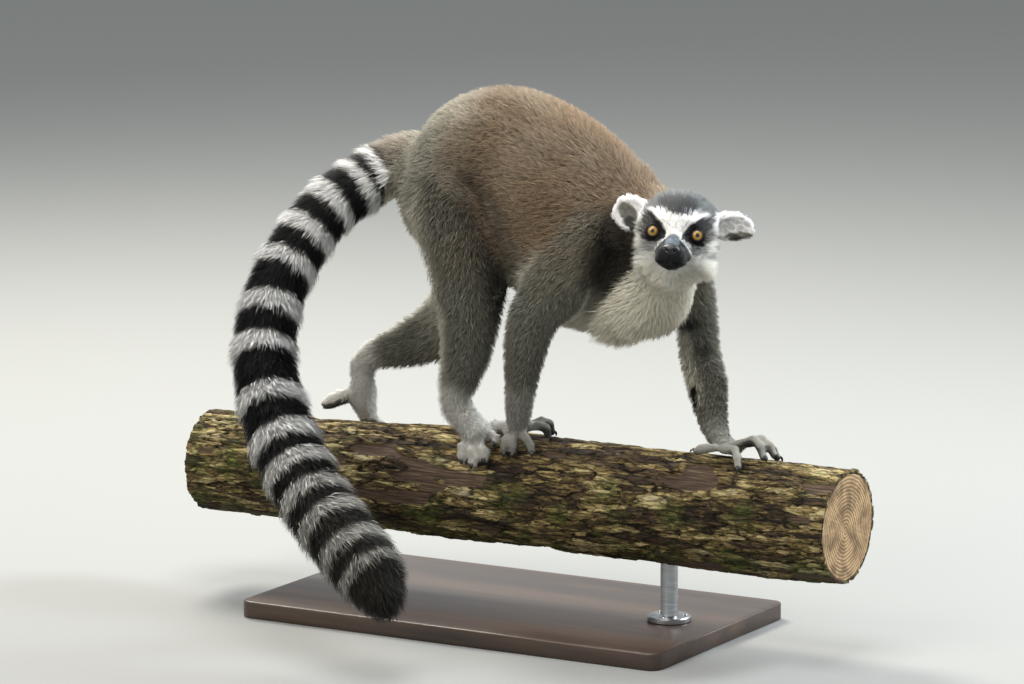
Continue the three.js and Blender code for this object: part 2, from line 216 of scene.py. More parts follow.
bpy.ops.object.select_all(action="DESELECT")
bpy.ops.mesh.primitive_cylinder_add(
    vertices=168, radius=LOG_RADIUS, depth=2 * LOG_HALF, end_fill_type="NGON",
    location=(LOG_MIDDLE, 0, LOG_HEIGHT), rotation=(0, math.pi / 2, 0))
log = bpy.context.object
log.name = "log"
bpy.ops.object.transform_apply(location=True, rotation=True, scale=True)


def select_parts(mesh, edges=None, faces=None):
    """Leaves only the edges or faces selected for which the given function of their mesh part is true."""
    mesh.vertices.foreach_set("select", [False] * len(mesh.vertices))
    mesh.edges.foreach_set("select", [bool(edges and edges(e)) for e in mesh.edges])
    mesh.polygons.foreach_set("select", [bool(faces and faces(f)) for f in mesh.polygons])
    bpy.context.tool_settings.mesh_select_mode = (False, edges is not None, faces is not None)


def runs_lengthwise(edge):
    first, last = (log.data.vertices[i].co.x for i in edge.vertices)
    return abs(first - last) > 1e-4


# The bark is ruled into small squares, first coarsely along the log and then finely.
for cuts in (99, 2):
    select_parts(log.data, edges=runs_lengthwise)
    bpy.ops.object.mode_set(mode="EDIT")
    bpy.ops.mesh.subdivide(number_cuts=cuts)
    bpy.ops.object.mode_set(mode="OBJECT")
select_parts(log.data, faces=lambda face: abs(face.normal.x) > 0.5)
bpy.ops.object.mode_set(mode="EDIT")
for ring in (0.004, 0.009, 0.012, 0.012):
    bpy.ops.mesh.inset(thickness=ring)
bpy.ops.object.mode_set(mode="OBJECT")

points = get_points(log.data)
along = points[:, 0] * 1000
around = np.arctan2(points[:, 2] - LOG_HEIGHT, points[:, 1])
share = np.hypot(points[:, 1], points[:, 2] - LOG_HEIGHT) / LOG_RADIUS
swell = 0.8 * np.sin(along / 47 + 2 * around) + 0.7 * np.sin(along / 83 - 3 * around)
radius = LOG_RADIUS * 1000 - LOG_TAPER * np.maximum(0, -along) + swell
sheet = np.stack([along, np.cos(around) * 52, np.sin(around) * 52], axis=1)
warp = np.stack([noise(sheet / 19 + k * 31, 3 + k, 2) for k in range(3)], axis=1)
plates = (sheet + warp * [14, 3.0, 3.0]) / [44, 8.5, 8.5]
_, gap, own = nearest_seed(plates, 11)
flakes = (sheet + warp * [8, 2.4, 2.4]) / [13, 3.2, 3.2]
_, fine_gap, fine_own = nearest_seed(flakes, 23)
grain = noise(sheet / [7, 1.3, 1.3], 41, 3)
# Where the bark has come off, the wood lies lower, smooth and straight-grained.
bare = step(0.43, 0.46, noise(sheet / [58, 21, 21] + 5.3, 57, 2))
# Under the fingers and toes the bark is worn level: (place along the log, place across it).
TREADS = np.array([[-20, -30], [30, -18], [235, 5], [-178, 40], [-20, -45]])
on_plan = np.stack([along, points[:, 1] * 1000], axis=1)
tread = np.exp(-np.min([np.sum(((on_plan - middle) / [34, 30]) ** 2, axis=1) for middle in TREADS], axis=0))
tread *= points[:, 2] > LOG_HEIGHT
plate_top = (own - 0.5) * 2.0 + (fine_own - 0.5) * 1.0 * step(0.0, 0.25, fine_gap)
crack = (1 - step(0.0, 0.16, gap)) * 1.6 + (1 - step(0.0, 0.18, fine_gap)) * 0.3
wood_low = 2.3 + 0.25 * noise(sheet / [40, 0.9, 0.9], 61, 2)
relief = (plate_top - crack) * (1 - bare) - bare * wood_low + grain * 0.35
relief = np.minimum(relief, 1.5)
relief = relief * (1 - 0.75 * tread) - 0.9 * tread
rim = share > 0.999
moved = np.where(rim, radius + relief, radius * share)
saw = np.where(rim, 0, 0.25 * np.sin(points[:, 2] * 1500) * (share < 0.95))
outward = np.where(along > 0, 1, -1)
axis_height = LOG_HEIGHT * 1000 - LOG_TAPER * np.maximum(0, -along)
points = np.stack([
    along + np.where(np.abs(along / 1000 - LOG_MIDDLE) > LOG_HALF - 0.0005, outward * saw, 0),
    moved * np.cos(around),
    axis_height + moved * np.sin(around),
], axis=1) * MM
set_points(log.data, points)
set_attribute(log.data, "relief", "FLOAT", np.clip((relief + 4.2) / 6, 0, 1))
set_attribute(log.data, "bare", "FLOAT", bare)


def ramp(material, factor, stops):
    """A colour ramp through (place, hex colour) stops."""
    made = add_node(material, "ShaderNodeValToRGB", _0=factor)
    made.color_ramp.elements.remove(made.color_ramp.elements[1])
    for i, (place, code) in enumerate(stops):
        stop = made.color_ramp.elements[0] if i == 0 else made.color_ramp.elements.new(place)
        stop.position = place
        stop.color = linear(code)
    return made.outputs["Color"]


def object_place(material, scale=(1, 1, 1), shift=(0, 0, 0)):
    """Object coordinates, stretched and shifted."""
    place = add_node(material, "ShaderNodeTexCoord").outputs["Object"]
    return add_node(material, "ShaderNodeMapping", _0=place, Scale=scale, Location=shift).outputs["Vector"]


def stored(material, name, output="Fac"):
    """What is stored on the mesh under a name."""
    return add_node(material, "ShaderNodeAttribute", {"attribute_name": name}).outputs[output]


def cloud(material, place, scale, detail, roughness=0.5, output="Fac"):
    return add_node(material, "ShaderNodeTexNoise", Vector=place, Scale=scale, Detail=detail,
                    Roughness=roughness).outputs[output]


def times_plus(material, first, second, third=0.0):
    """The first times the second, plus the third."""
    return add_node(material, "ShaderNodeMath", {"operation": "MULTIPLY_ADD"},
                    _0=first, _1=second, _2=third).outputs[0]


def remap(material, value, low, high, new_low=0.0, new_high=1.0):
    return add_node(material, "ShaderNodeMapRange",
                    _0=value, _1=low, _2=high, _3=new_low, _4=new_high).outputs[0]


def mix(material, amount, first, second, way="MIX"):
    """Two colours mixed, or multiplied, by an amount."""
    return add_node(material, "ShaderNodeMix", {"data_type": "RGBA", "blend_type": way},
                    _0=amount, _6=first, _7=second).outputs[2]


def bump(material, surface, height, strength, distance, **under):
    """Raises a surface by a height, over a bump given as Normal."""
    made = add_node(material, "ShaderNodeBump", Height=height, Strength=strength, Distance=distance, **under)
    material.node_tree.links.new(made.outputs["Normal"], surface.inputs["Normal"])
    return made.outputs["Normal"]


# Dry bark: ochre and grey-brown plate tops, near black in the cracks where painted shade darkens the low
# places and flake edges, with green moss in the hollows.
bark, surface = new_material("dry bark with moss")
place, stretched = object_place(bark), object_place(bark, (0.21, 1, 1))
bare_value = stored(bark, "bare")
speckle = cloud(bark, stretched, 520, 6, 0.65)
torn = cloud(bark, stretched, 120, 5, 0.7, "Color")
jagged = add_node(bark, "ShaderNodeVectorMath", {"operation": "MULTIPLY_ADD"},
                  _0=torn, _1=(0.008, 0.0075, 0.0075), _2=stretched).outputs["Vector"]
layers = []
for cells in (120, 290):
    flake = add_node(bark, "ShaderNodeTexVoronoi", Vector=jagged, Scale=cells)
    level = add_node(bark, "ShaderNodeSeparateColor", _0=flake.outputs["Color"]).outputs[0]
    edge = add_node(bark, "ShaderNodeTexVoronoi", {"feature": "DISTANCE_TO_EDGE"}, Vector=jagged, Scale=cells)
    layers.append((level, remap(bark, edge.outputs["Distance"], 0.0, 0.11)))
(level, edge), (fine_level, fine_edge) = layers
patchy = remap(bark, cloud(bark, stretched, 38, 3), 0.3, 0.7, -0.2, 0.08)
both_levels = times_plus(bark, fine_level, 0.6, level)
tone = times_plus(bark, both_levels, 0.34, times_plus(bark, speckle, 0.6, patchy))
plate_colour = ramp(bark, tone, [
    (0.16, "#1f1811"), (0.34, "#3d3022"), (0.47, "#5b4b30"), (0.58, "#86744a"), (0.70, "#b8a878"),
    (0.85, "#938d78")])
edges = times_plus(bark, edge, 0.6, times_plus(bark, fine_edge, 0.4))
dip = times_plus(bark, stored(bark, "relief"), 0.5, times_plus(bark, edges, 0.5))
# Painted shade: low places of the relief and the edges of the flakes are darkened, and the raised plates are
# left as they are.
shade = ramp(bark, dip, [(0.2, "#17110c"), (0.45, "#5e5142"), (0.62, "#d6d2ca"), (0.9, "#ffffff")])
height = add_node(bark, "ShaderNodeSeparateXYZ", Vector=place).outputs["Z"]
moss_sum = times_plus(bark, cloud(bark, place, 26, 5, 0.65), 1.0, remap(bark, height, 0.17, 0.08, 0.0, 0.14))
moss_colour = ramp(bark, speckle, [(0.3, "#232b10"), (0.55, "#4b5722"), (0.75, "#7c8440")])
bare_bark = mix(bark, 1.0, plate_colour, shade, "MULTIPLY")
mossy = mix(bark, remap(bark, moss_sum, 0.58, 0.74, 0.0, 0.7), bare_bark, moss_colour)
wood_lines = cloud(bark, object_place(bark, (0.04, 1, 1)), 900, 3)
wood_colour = ramp(bark, wood_lines, [(0.3, "#2a2019"), (0.55, "#4b3c30"), (0.75, "#6b5948")])
set_surface(surface, mix(bark, bare_value, mossy, wood_colour), 0.88, Specular_IOR_Level=0.25)
layer_bump = bump(bark, surface, times_plus(bark, both_levels, 0.5, edges),
                  remap(bark, bare_value, 0.0, 1.0, 1.0, 0.15), 0.0035)
bump(bark, surface, speckle, 0.6, 0.0012, Normal=layer_bump)

# Sawn end grain: pale brown rings round the pith, darker where it has weathered.
sawn, surface = new_material("sawn end grain")
centred = object_place(sawn, (0, 1, 1), (0, 0.004, -0.119))
rings = add_node(sawn, "ShaderNodeTexWave", {"wave_type": "RINGS", "rings_direction": "SPHERICAL"},
                 Vector=centred, Scale=95, Distortion=2.2, Detail=3).outputs["Fac"]
ring_colour = ramp(sawn, rings, [(0.0, "#8b6c49"), (0.6, "#a98b63"), (1.0, "#c0a67d")])
weather = ramp(sawn, cloud(sawn, centred, 70, 5), [(0.35, "#8f8373"), (0.6, "#ffffff")])
set_surface(surface, mix(sawn, 0.8, ring_colour, weather, "MULTIPLY"), 0.8)
bump(sawn, surface, rings, 0.35, 0.0006)

log.data.materials.append(bark)
log.data.materials.append(sawn)
for face in log.data.polygons:
    middle = face.center
    off_axis = math.hypot(middle.y, middle.z - (LOG_HEIGHT - LOG_TAPER * max(0, -middle.x)))
    at_end = abs(middle.x - LOG_MIDDLE) > LOG_HALF - 0.0007
    face.material_index = 1 if at_end and off_axis < LOG_RADIUS * 0.92 - 0.002 else 0
bpy.ops.object.shade_smooth_by_angle(angle=math.radians(60))
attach(log, "root")
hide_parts("perch_log")

# ---- Stand ----
# A flat base board of stained oak with eased edges, and two short brushed steel rods on screwed flanges
# that carry the log.
BASE_LENGTH, BASE_WIDTH, BASE_THICK, BASE_CORNER = 0.440, 0.250, 0.016, 0.012
ROD_RADIUS, ROD_AT, FLANGE_RADIUS, FLANGE_THICK = 0.008, 0.165, 0.020, 0.005
# The flanges stand this far clear of the board, and the rods are let into the log this deep.
CLEAR, LET_IN = 0.0003, 0.004
SCREW_RADIUS, SCREW_CIRCLE = 0.0026, 0.0145

bpy.ops.object.select_all(action="DESELECT")
bpy.ops.mesh.primitive_cube_add(size=1, location=(0, 0, BASE_THICK / 2))
board = bpy.context.object
board.name = "base_board"
board.scale = (BASE_LENGTH, BASE_WIDTH, BASE_THICK)
bpy.ops.object.transform_apply(location=True, rotation=True, scale=True)
select_parts(board.data, edges=lambda edge: abs(
    board.data.vertices[edge.vertices[0]].co.z - board.data.vertices[edge.vertices[1]].co.z) > BASE_THICK / 2)
bpy.ops.object.mode_set(mode="EDIT")
bpy.ops.mesh.bevel(offset=BASE_CORNER, segments=8)
bpy.ops.object.mode_set(mode="OBJECT")
eased = board.modifiers.new("eased edges", "BEVEL")
eased.width = 0.0016
eased.segments = 3
eased.angle_limit = math.radians(50)
bpy.ops.object.modifier_apply(modifier=eased.name)
bpy.ops.object.shade_smooth_by_angle(angle=math.radians(40))

# Dark stained oak under satin varnish: long grain lines with open pores.
oak, surface = new_material("dark stained oak")
lengthwise = object_place(oak, (0.06, 1, 1))
grain_lines = cloud(oak, lengthwise, 260, 6, 0.6)
oak_tone = times_plus(oak, cloud(oak, lengthwise, 38, 3), 0.6, times_plus(oak, grain_lines, 0.4))
oak_colour = ramp(oak, oak_tone, [(0.32, "#1d1510"), (0.5, "#3a2a1f"), (0.66, "#503b2b")])
set_surface(surface, oak_colour, 0.42, Coat_Weight=0.25, Coat_Roughness=0.3)
bump(oak, surface, grain_lines, 0.25, 0.0004)
board.data.materials.append(oak)
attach(board, "root")
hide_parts("stand_base")

# Brushed stainless steel: fine level lines round the rod.
steel, surface = new_material("brushed stainless steel")
brushing = cloud(steel, object_place(steel, (0.03, 0.03, 1)), 2600, 2)
set_surface(surface, ramp(steel, brushing, [(0.3, "#8d8f91"), (0.7, "#b4b6b8")]), 0.34, Metallic=1.0)
bump(steel, surface, brushing, 0.12, 0.0002)

# Each rod is turned from a half profile of (radius, height), with the screws in its flange left proud.
for rod_name, side in (("back", -1), ("front", 1)):
    foot = BASE_THICK + CLEAR
    top = LOG_HEIGHT - LOG_RADIUS + LET_IN
    profile = [
        (0.0, foot), (FLANGE_RADIUS - 0.0006, foot), (FLANGE_RADIUS, foot + 0.0006),
        (FLANGE_RADIUS, foot + FLANGE_THICK - 0.001), (FLANGE_RADIUS - 0.001, foot + FLANGE_THICK),
        (ROD_RADIUS + 0.0015, foot + FLANGE_THICK), (ROD_RADIUS + 0.0004, foot + FLANGE_THICK + 0.0004),
        (ROD_RADIUS, foot + FLANGE_THICK + 0.0015), (ROD_RADIUS, top), (0.0, top)]
    bpy.ops.object.select_all(action="DESELECT")
    bpy.ops.mesh.primitive_circle_add(vertices=3, radius=0.001)
    rod = bpy.context.object
    rod.name = f"rod_{rod_name}"
    rod.data.clear_geometry()
    rod.data.from_pydata([(r, 0, z) for r, z in profile], [(i, i + 1) for i in range(len(profile) - 1)], [])
    bpy.ops.object.mode_set(mode="EDIT")
    bpy.ops.mesh.select_all(action="SELECT")
    bpy.ops.mesh.spin(steps=48, angle=2 * math.pi, center=(0, 0, 0), axis=(0, 0, 1))
    bpy.ops.mesh.select_all(action="SELECT")
    bpy.ops.mesh.remove_doubles(threshold=1e-6)
    bpy.ops.mesh.normals_make_consistent(inside=False)
    bpy.ops.object.mode_set(mode="OBJECT")
    for turn in range(3):
        angle = math.radians(30 + 120 * turn)
        bpy.ops.object.select_all(action="DESELECT")
        bpy.ops.mesh.primitive_uv_sphere_add(
            segments=16, ring_count=8, radius=SCREW_RADIUS, location=(
                SCREW_CIRCLE * math.cos(angle), SCREW_CIRCLE * math.sin(angle), foot + FLANGE_THICK - 0.0006))
        screw = bpy.context.object
        screw.scale.z = 0.75
        bpy.ops.object.transform_apply(location=True, rotation=True, scale=True)
        rod.select_set(True)
        bpy.context.view_layer.objects.active = rod
        bpy.ops.object.join()
    rod.data.transform(Matrix.Translation((side * ROD_AT, 0, 0)))
    bpy.ops.object.shade_smooth_by_angle(angle=math.radians(35))
    rod.data.materials.append(steel)
    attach(rod, "root")
    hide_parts(f"stand_rod_{rod_name}")

# ---- The animal's own lines ----
# Each stretch of the body follows a line from where its hair starts to where it ends: snout to nape, neck
# to shoulders, breast to rump, shoulder to wrist, hip to heel, root to tip of the tail. Each row gives a
# place in millimetres (x, y, height over the log's axis), half the thickness of the body there, the depth
# of the coat and the length of its hairs. Hair, markings and the flat layout of the skin all follow these.
NOSE, NAPE_END = (33, 0, -19), (-52, 0, 4)
HEAD_FORWARD = np.array([0.399, -0.9, 0.173])
HEAD_FORWARD /= np.linalg.norm(HEAD_FORWARD)
HEAD_UP = np.array([0.004, 0.2, 0.98])
HEAD_UP = HEAD_UP - HEAD_FORWARD * HEAD_UP.dot(HEAD_FORWARD)
HEAD_UP /= np.linalg.norm(HEAD_UP)
HEAD_LEFT = np.cross(HEAD_UP, HEAD_FORWARD)
HEAD_AXES = np.stack([HEAD_FORWARD, HEAD_LEFT, HEAD_UP])
BETWEEN_EYES = np.array([203, -62, 384.0])
AXIS_HEIGHT = LOG_HEIGHT * 1000


def on_head(forward, left, up):
    """A place by how far it is forward, left and up of the point midway between the eyes."""
    return BETWEEN_EYES + np.array([forward, left, up], float) @ HEAD_AXES


def from_head(points):
    """How far points are forward, left and up of the point midway between the eyes."""
    return (points - BETWEEN_EYES) @ HEAD_AXES.T


def over_log(rows):
    return [((x, y, AXIS_HEIGHT + height), *rest) for x, y, height, *rest in rows]


def grip(x, degrees, lift):
    """A digit's joint, by how far it is along the log, round from the log's top and over its bark."""
    angle, thinner = math.radians(degrees), LOG_TAPER * max(0, -x)
    reach = LOG_RADIUS * 1000 - thinner + lift
    return (x, -reach * math.sin(angle), AXIS_HEIGHT - thinner + reach * math.cos(angle))


EARS = {
    "right": {"sign": -1, "up": 0.36, "turn": 0.2, "long": 1.08, "hollow": (15, -2.5, 0.4, 14.5, 8.5)},
    "left": {"sign": 1, "up": 0.05, "turn": 0.62, "long": 1.28, "hollow": (25, -5, 0.1, 12, 3.6)},
}


def ear_frame(ear):
    """The way an ear points, the way its bowl faces and the way to its upper edge, and where its root is,
    in the head's own directions."""
    axis = np.array([-0.1, ear["sign"], ear["up"]])
    axis /= np.linalg.norm(axis)
    bowl = np.array([math.cos(ear["turn"]), ear["sign"] * math.sin(ear["turn"]), 0])
    bowl -= axis * bowl.dot(axis)
    bowl /= np.linalg.norm(bowl)
    broad = np.cross(bowl, axis)
    return axis, bowl, broad * np.sign(broad[2]), np.array([-27, 28 * ear["sign"], 8])


def ear_place(ear, distance):
    axis, _, _, root = ear_frame(ear)
    return tuple(on_head(*(root + axis * distance * ear["long"])))


body_lines = {
    "trunk": over_log([
        (149, 0, 229, 51, 8, 16), (118, 0, 238, 70, 9, 17), (92, 0, 247, 78, 9, 17),
        (58, 0, 258, 82, 9, 17), (20, 0, 277, 80, 9, 17), (-20, 0, 291, 72, 9, 17),
        (-54, 0, 287, 66, 9, 17), (-97, 0, 274, 46, 8, 16)]),
    "neck": over_log([(180, -34, 262, 32, 6, 13), (160, -12, 262, 36, 8, 15), (120, 0, 262, 50, 9, 16)]),
    "throat": over_log([(184, -40, 238, 24, 5, 12), (170, -22, 208, 34, 7, 15), (144, -6, 182, 38, 8, 16)]),
    "head": [(tuple(on_head(*NOSE)), 13, 0.5, 2.2), (tuple(on_head(8, 0, -14)), 18, 0.8, 3),
             (tuple(on_head(-8, 0, -4)), 26, 2.0, 5), (tuple(on_head(-27, 0, 2)), 37, 4.5, 8.5),
             (tuple(on_head(*NAPE_END)), 30, 6, 11)],
    "arm_right": over_log([
        (104, -34, 252, 36, 8, 15), (80, -46, 213, 31, 8, 14), (51, -50, 172, 26, 6, 12),
        (41, -47, 141, 21, 5, 10), (33, -41, 107, 16, 3.6, 8), (26, -33, 82, 13, 2.4, 6),
        (21, -25, 66, 12, 1.6, 4.5)]),
    "arm_left": over_log([
        (148, 30, 232, 31, 7, 14), (170, 38, 183, 23, 5.5, 11), (173, 36, 147, 21, 5, 10),
        (187, 29, 112, 20, 4, 9), (197, 20, 86, 16, 3, 7), (205, 13, 71, 13, 2, 5),
        (216, 8, 61, 11, 1.6, 4.5), (232, 2, 59, 9, 1.3, 4)]),
    "leg_right": over_log([
        (-55, -26, 276, 38, 9, 16), (-34, -38, 246, 39, 9, 15), (-19, -43, 199, 35, 8, 14),
        (-19, -44, 150, 27, 6, 11), (-25, -44, 122, 22, 4.5, 9), (-34, -42, 98, 17, 3.5, 8),
        (-38, -41, 84, 15, 3, 7), (-25, -38, 67, 15, 2.6, 7), (-14, -36, 56, 14, 2.2, 6)]),
    "leg_left": over_log([
        (-78, 25, 262, 36, 9, 16), (-74, 42, 210, 36, 9, 15), (-85, 51, 155, 31, 8, 13),
        (-118, 53, 125, 27, 6, 11), (-150, 50, 111, 20, 4.5, 9), (-180, 46, 101, 14, 3, 7),
        (-190, 42, 92, 12, 2.5, 6), (-184, 38, 76, 12, 2.2, 6), (-179, 35, 58, 12, 2, 5),
        (-178, 38, 44, 11, 1.8, 5)]),
    "tail": over_log([
        (-92, 8, 300, 29, 9, 17), (-119, 0, 294, 30.5, 9, 18), (-138, -21, 281, 30.5, 9, 19),
        (-160, -53, 259, 30, 9, 20), (-174, -81, 229, 30.5, 9.5, 21), (-180, -120, 187, 31, 10, 22),
        (-171, -154, 137, 32, 10, 22), (-143, -184, 92, 34, 11, 23), (-110, -205, 52, 35, 11, 24),
        (-63, -230, 13, 36, 12, 25), (-22, -246, -15, 36, 12, 26), (4, -256, -33, 34, 12, 26),
        (18, -264, -45, 27, 12, 24)]),
}
for ear_side, ear in EARS.items():
    body_lines[f"ear_{ear_side}"] = [
        (ear_place(ear, 0), 16, 1.2, 5), (ear_place(ear, 12), 17, 0.9, 4), (ear_place(ear, 28), 14, 0.7, 3.6)]
# Digits: (joints along the log, round it and over it), thumb or great toe first.
DIGITS = {
    "hand_right": (3.8, [
        [(24, 12, 13), (33, 3, 15), (38, -2, 12), (40, -4, 4)],
        [(25, 18, 13), (36, 12, 14), (42, 9, 11), (44, 10, 4)],
        [(24, 22, 13), (33, 30, 12), (39, 34, 8), (41, 38, 4)],
        [(20, 24, 13), (21, 33, 12), (23, 37, 8), (23, 41, 4)],
        [(17, 24, 13), (14, 34, 12), (14, 38, 8), (14, 41, 4)]]),
    "hand_left": (3.8, [
        [(214, 8, 9), (208, 11, 9), (204, 13, 9), (199, 14, 6)],
        [(222, 6, 8), (238, 12, 11), (246, 22, 9), (249, 29, 4)],
        [(224, 2, 9), (250, 0, 18), (258, 2, 13), (263, 5, 4)],
        [(224, -6, 9), (254, -6, 18), (263, -5, 13), (270, -4, 4)],
        [(220, -14, 9), (245, -18, 15), (256, -24, 11), (261, -28, 4)]]),
    "foot_right": (4.4, [
        [(-16, 26, 13), (-8, 19, 14), (2, 16, 12), (8, 19, 4)],
        [(-14, 32, 12), (-7, 28, 13), (-3, 29, 10), (-2, 31, 4)],
        [(-13, 36, 13), (-8, 42, 12), (-5, 46, 8), (-4, 50, 4)],
        [(-18, 37, 13), (-16, 46, 12), (-14, 52, 7), (-14, 57, 4)],
        [(-23, 37, 13), (-25, 44, 12), (-26, 49, 7), (-26, 53, 4)]]),
    "foot_left": (4.4, [
        [(-186, -25, 32), (-197, -23, 23), (-207, -21, 18), (-214, -21, 14)],
        [(-172, -44, 9), (-168, -54, 11), (-166, -64, 8), (-165, -72, 4)],
        [(-176, -46, 9), (-175, -58, 11), (-174, -70, 8), (-174, -79, 4)],
        [(-180, -46, 9), (-182, -58, 11), (-183, -70, 8), (-183, -80, 4)],
        [(-184, -44, 9), (-188, -54, 11), (-189, -64, 8), (-189, -73, 4)]]),
}
for digit_set, (thick, digits) in DIGITS.items():
    furry = 1.4 if digit_set.startswith("foot") else 0.5
    for k, joints in enumerate(digits):
        body_lines[f"{digit_set}_{k}"] = [
            (grip(*joint), thick + 0.6 - 0.3 * n, furry * (1 - 0.25 * n), furry * 3.4 * (1 - 0.2 * n) + 1)
            for n, joint in enumerate(joints)]
LINE_NAMES = list(body_lines)
lines = []
for name in LINE_NAMES:
    rows = body_lines[name]
    places = np.array([row[0] for row in rows], float)
    slopes = np.gradient(places, axis=0)
    slopes /= np.linalg.norm(slopes, axis=1)[:, None]
    arcs = np.concatenate([[0], np.cumsum(np.linalg.norm(np.diff(places, axis=0), axis=1))])
    sizes_along = np.array([row[1:] for row in rows], float)
    lines.append({"places": places, "slopes": slopes, "arcs": arcs, "sizes": sizes_along})


def on_line(index, points):
    """For each point its place on one line: how many half thicknesses off it is, how far along, how far
    round, the way the line runs there, and the half thickness, coat depth and hair length there."""
    line = lines[index]
    best = np.full(len(points), np.inf)
    arc = np.zeros(len(points))
    for k in range(len(line["places"]) - 1):
        start, run = line["places"][k], line["places"][k + 1] - line["places"][k]
        reach = run.dot(run)
        t = (points - start) @ run / reach
        t = np.clip(t, 0, 1)
        away = np.linalg.norm(points - start - t[:, None] * run, axis=1)
        thick = line["sizes"][k, 0] + t * (line["sizes"][k + 1, 0] - line["sizes"][k, 0])
        nearer = away / thick < best
        best[nearer] = (away / thick)[nearer]
        arc[nearer] = (line["arcs"][k] + t * math.sqrt(reach))[nearer]
    slope = np.stack([np.interp(arc, line["arcs"], line["slopes"][:, k]) for k in range(3)], axis=1)
    slope /= np.linalg.norm(slope, axis=1)[:, None]
    middle = np.stack([np.interp(arc, line["arcs"], line["places"][:, k]) for k in range(3)], axis=1)
    sizes = np.stack([np.interp(arc, line["arcs"], line["sizes"][:, k]) for k in range(3)], axis=1)
    side = np.cross(slope, [0.31, 0.22, 0.93])
    side /= np.linalg.norm(side, axis=1)[:, None]
    off = points - middle
    round_it = np.arctan2(np.sum(off * np.cross(slope, side), axis=1), np.sum(off * side, axis=1))
    return best, arc, round_it, slope, sizes


def read_body(points):
    """What the coat is like at each point: the line it belongs to, how far along that is, the way the hair
    lies, the coat's depth and the hairs' length, all blended where two stretches meet."""
    nearest = np.full(len(points), np.inf)
    owner = np.zeros(len(points), int)
    arc_there = np.zeros(len(points))
    lie = np.zeros((len(points), 3))
    sizes = np.zeros((len(points), 3))
    total = np.zeros(len(points))
    for index, name in enumerate(LINE_NAMES):
        away, arc, _, slope, there = on_line(index, points)
        if name == "head":
            slope = points - on_head(*NOSE)
            slope /= np.linalg.norm(slope, axis=1)[:, None] + 1e-9
        if name == "trunk":
            slope = slope + [0, 0, -0.35]
        weight = np.maximum(away, 0.3) ** -9
        lie += weight[:, None] * slope
        sizes += weight[:, None] * there
        total += weight
        nearer = away < nearest
        nearest[nearer], arc_there[nearer], owner[nearer] = away[nearer], arc[nearer], index
    lie /= np.linalg.norm(lie, axis=1)[:, None]
    return owner, arc_there, lie, sizes / total[:, None]


def belongs(owner, *starts):
    """Which points belong to a line whose name starts with one of these words."""
    chosen = [i for i, name in enumerate(LINE_NAMES) if name.startswith(starts)]
    return np.isin(owner, chosen)


# ---- Markings ----
# The coat's colours by place: warm grey-brown back, grey limbs, cream underside, white face with black
# eye patches and muzzle, dark cap, white-edged ears, and a tail ringed black and white.
# Besides the coat's own colours, 'shade' is the colour of painted shadow, and 'bridge' is grey hair with a
# blue-grey painted highlight.
PALETTE = {name: np.array(linear(code)[:3]) for name, code in {
    "back grey": "#8a8678", "rufous": "#77644f", "limb grey": "#7b796d", "cream": "#e6e0cc",
    "white": "#fbf9f4", "black": "#101011", "muzzle": "#2b2e2e", "shade": "#1f1c16", "cap": "#2b2d2f",
    "crown grey": "#666a6b", "bridge": "#5d676f", "cheek": "#f2eee2", "under eye": "#808384",
    "ear hollow": "#77756b", "tail end": "#2a2823", "tail grey": "#c3c0b6", "hand grey": "#a5a399",
    "foot white": "#dcd9d0", "pad": "#1b1a1b", "tail root": "#837b6d"}.items()}
# The tail's white rings: (place along it, half width).
TAIL_RINGS = [
    (46.6, 4), (66.6, 5), (98.6, 6.5), (133.6, 7), (171.6, 7.5), (216.6, 8), (258.6, 8.5), (314.6, 8.5),
    (356.6, 8.5), (391.6, 8), (426.6, 7.5), (458.6, 7.5), (494.6, 7), (524, 4)]
GLAND = np.array([180, 16, AXIS_HEIGHT + 98.0])
ARMPIT = np.array([168, 15, AXIS_HEIGHT + 167.0])
FAR_ELBOW = np.array([192, 20, AXIS_HEIGHT + 144.0])
# Middles of the painted shadow at the near shoulder and on the near side of the neck.
SHOULDER_SHADOW_MIDDLE = np.array([136, -46, AXIS_HEIGHT + 220.0])
NECK_SHADOW_MIDDLE = np.array([134, -42, AXIS_HEIGHT + 253.0])
HIP_FOLD = np.array([(-14, -56, 408), (1, -56, 389), (11, -56, 366), (18, -52, 339), (18, -40, 305)], float)


def off_path(points, path, scale=1):
    """How far points are from a path of straight runs, with the ways scaled."""
    least = np.full(len(points), np.inf)
    for first, last in zip(path[:-1], path[1:]):
        run = last - first
        t = np.clip((points - first) @ run / run.dot(run), 0, 1)
        least = np.minimum(least, np.linalg.norm((points - first - t[:, None] * run) * scale, axis=1))
    return least


def blend(base, name, amount):
    """Lays one of the palette's colours over the base by an amount from 0 to 1."""
    return base + (PALETTE[name] - base) * np.clip(amount, 0, 1)[:, None]


def spot(points, middle, radii, low=0.5, high=1.1, ragged=0.0):
    """1 at the middle of a soft-edged spot and 0 outside it."""
    return 1 - step(low, high, np.linalg.norm((points - middle) / radii, axis=1) + ragged)


def inside(values, centre, radii):
    """1 well inside an ellipse and 0 outside it, over its last fifth."""
    reach = np.sqrt(sum(((v - c) / r) ** 2 for v, c, r in zip(values, centre, radii)))
    return 1 - step(0.84, 1.1, reach)


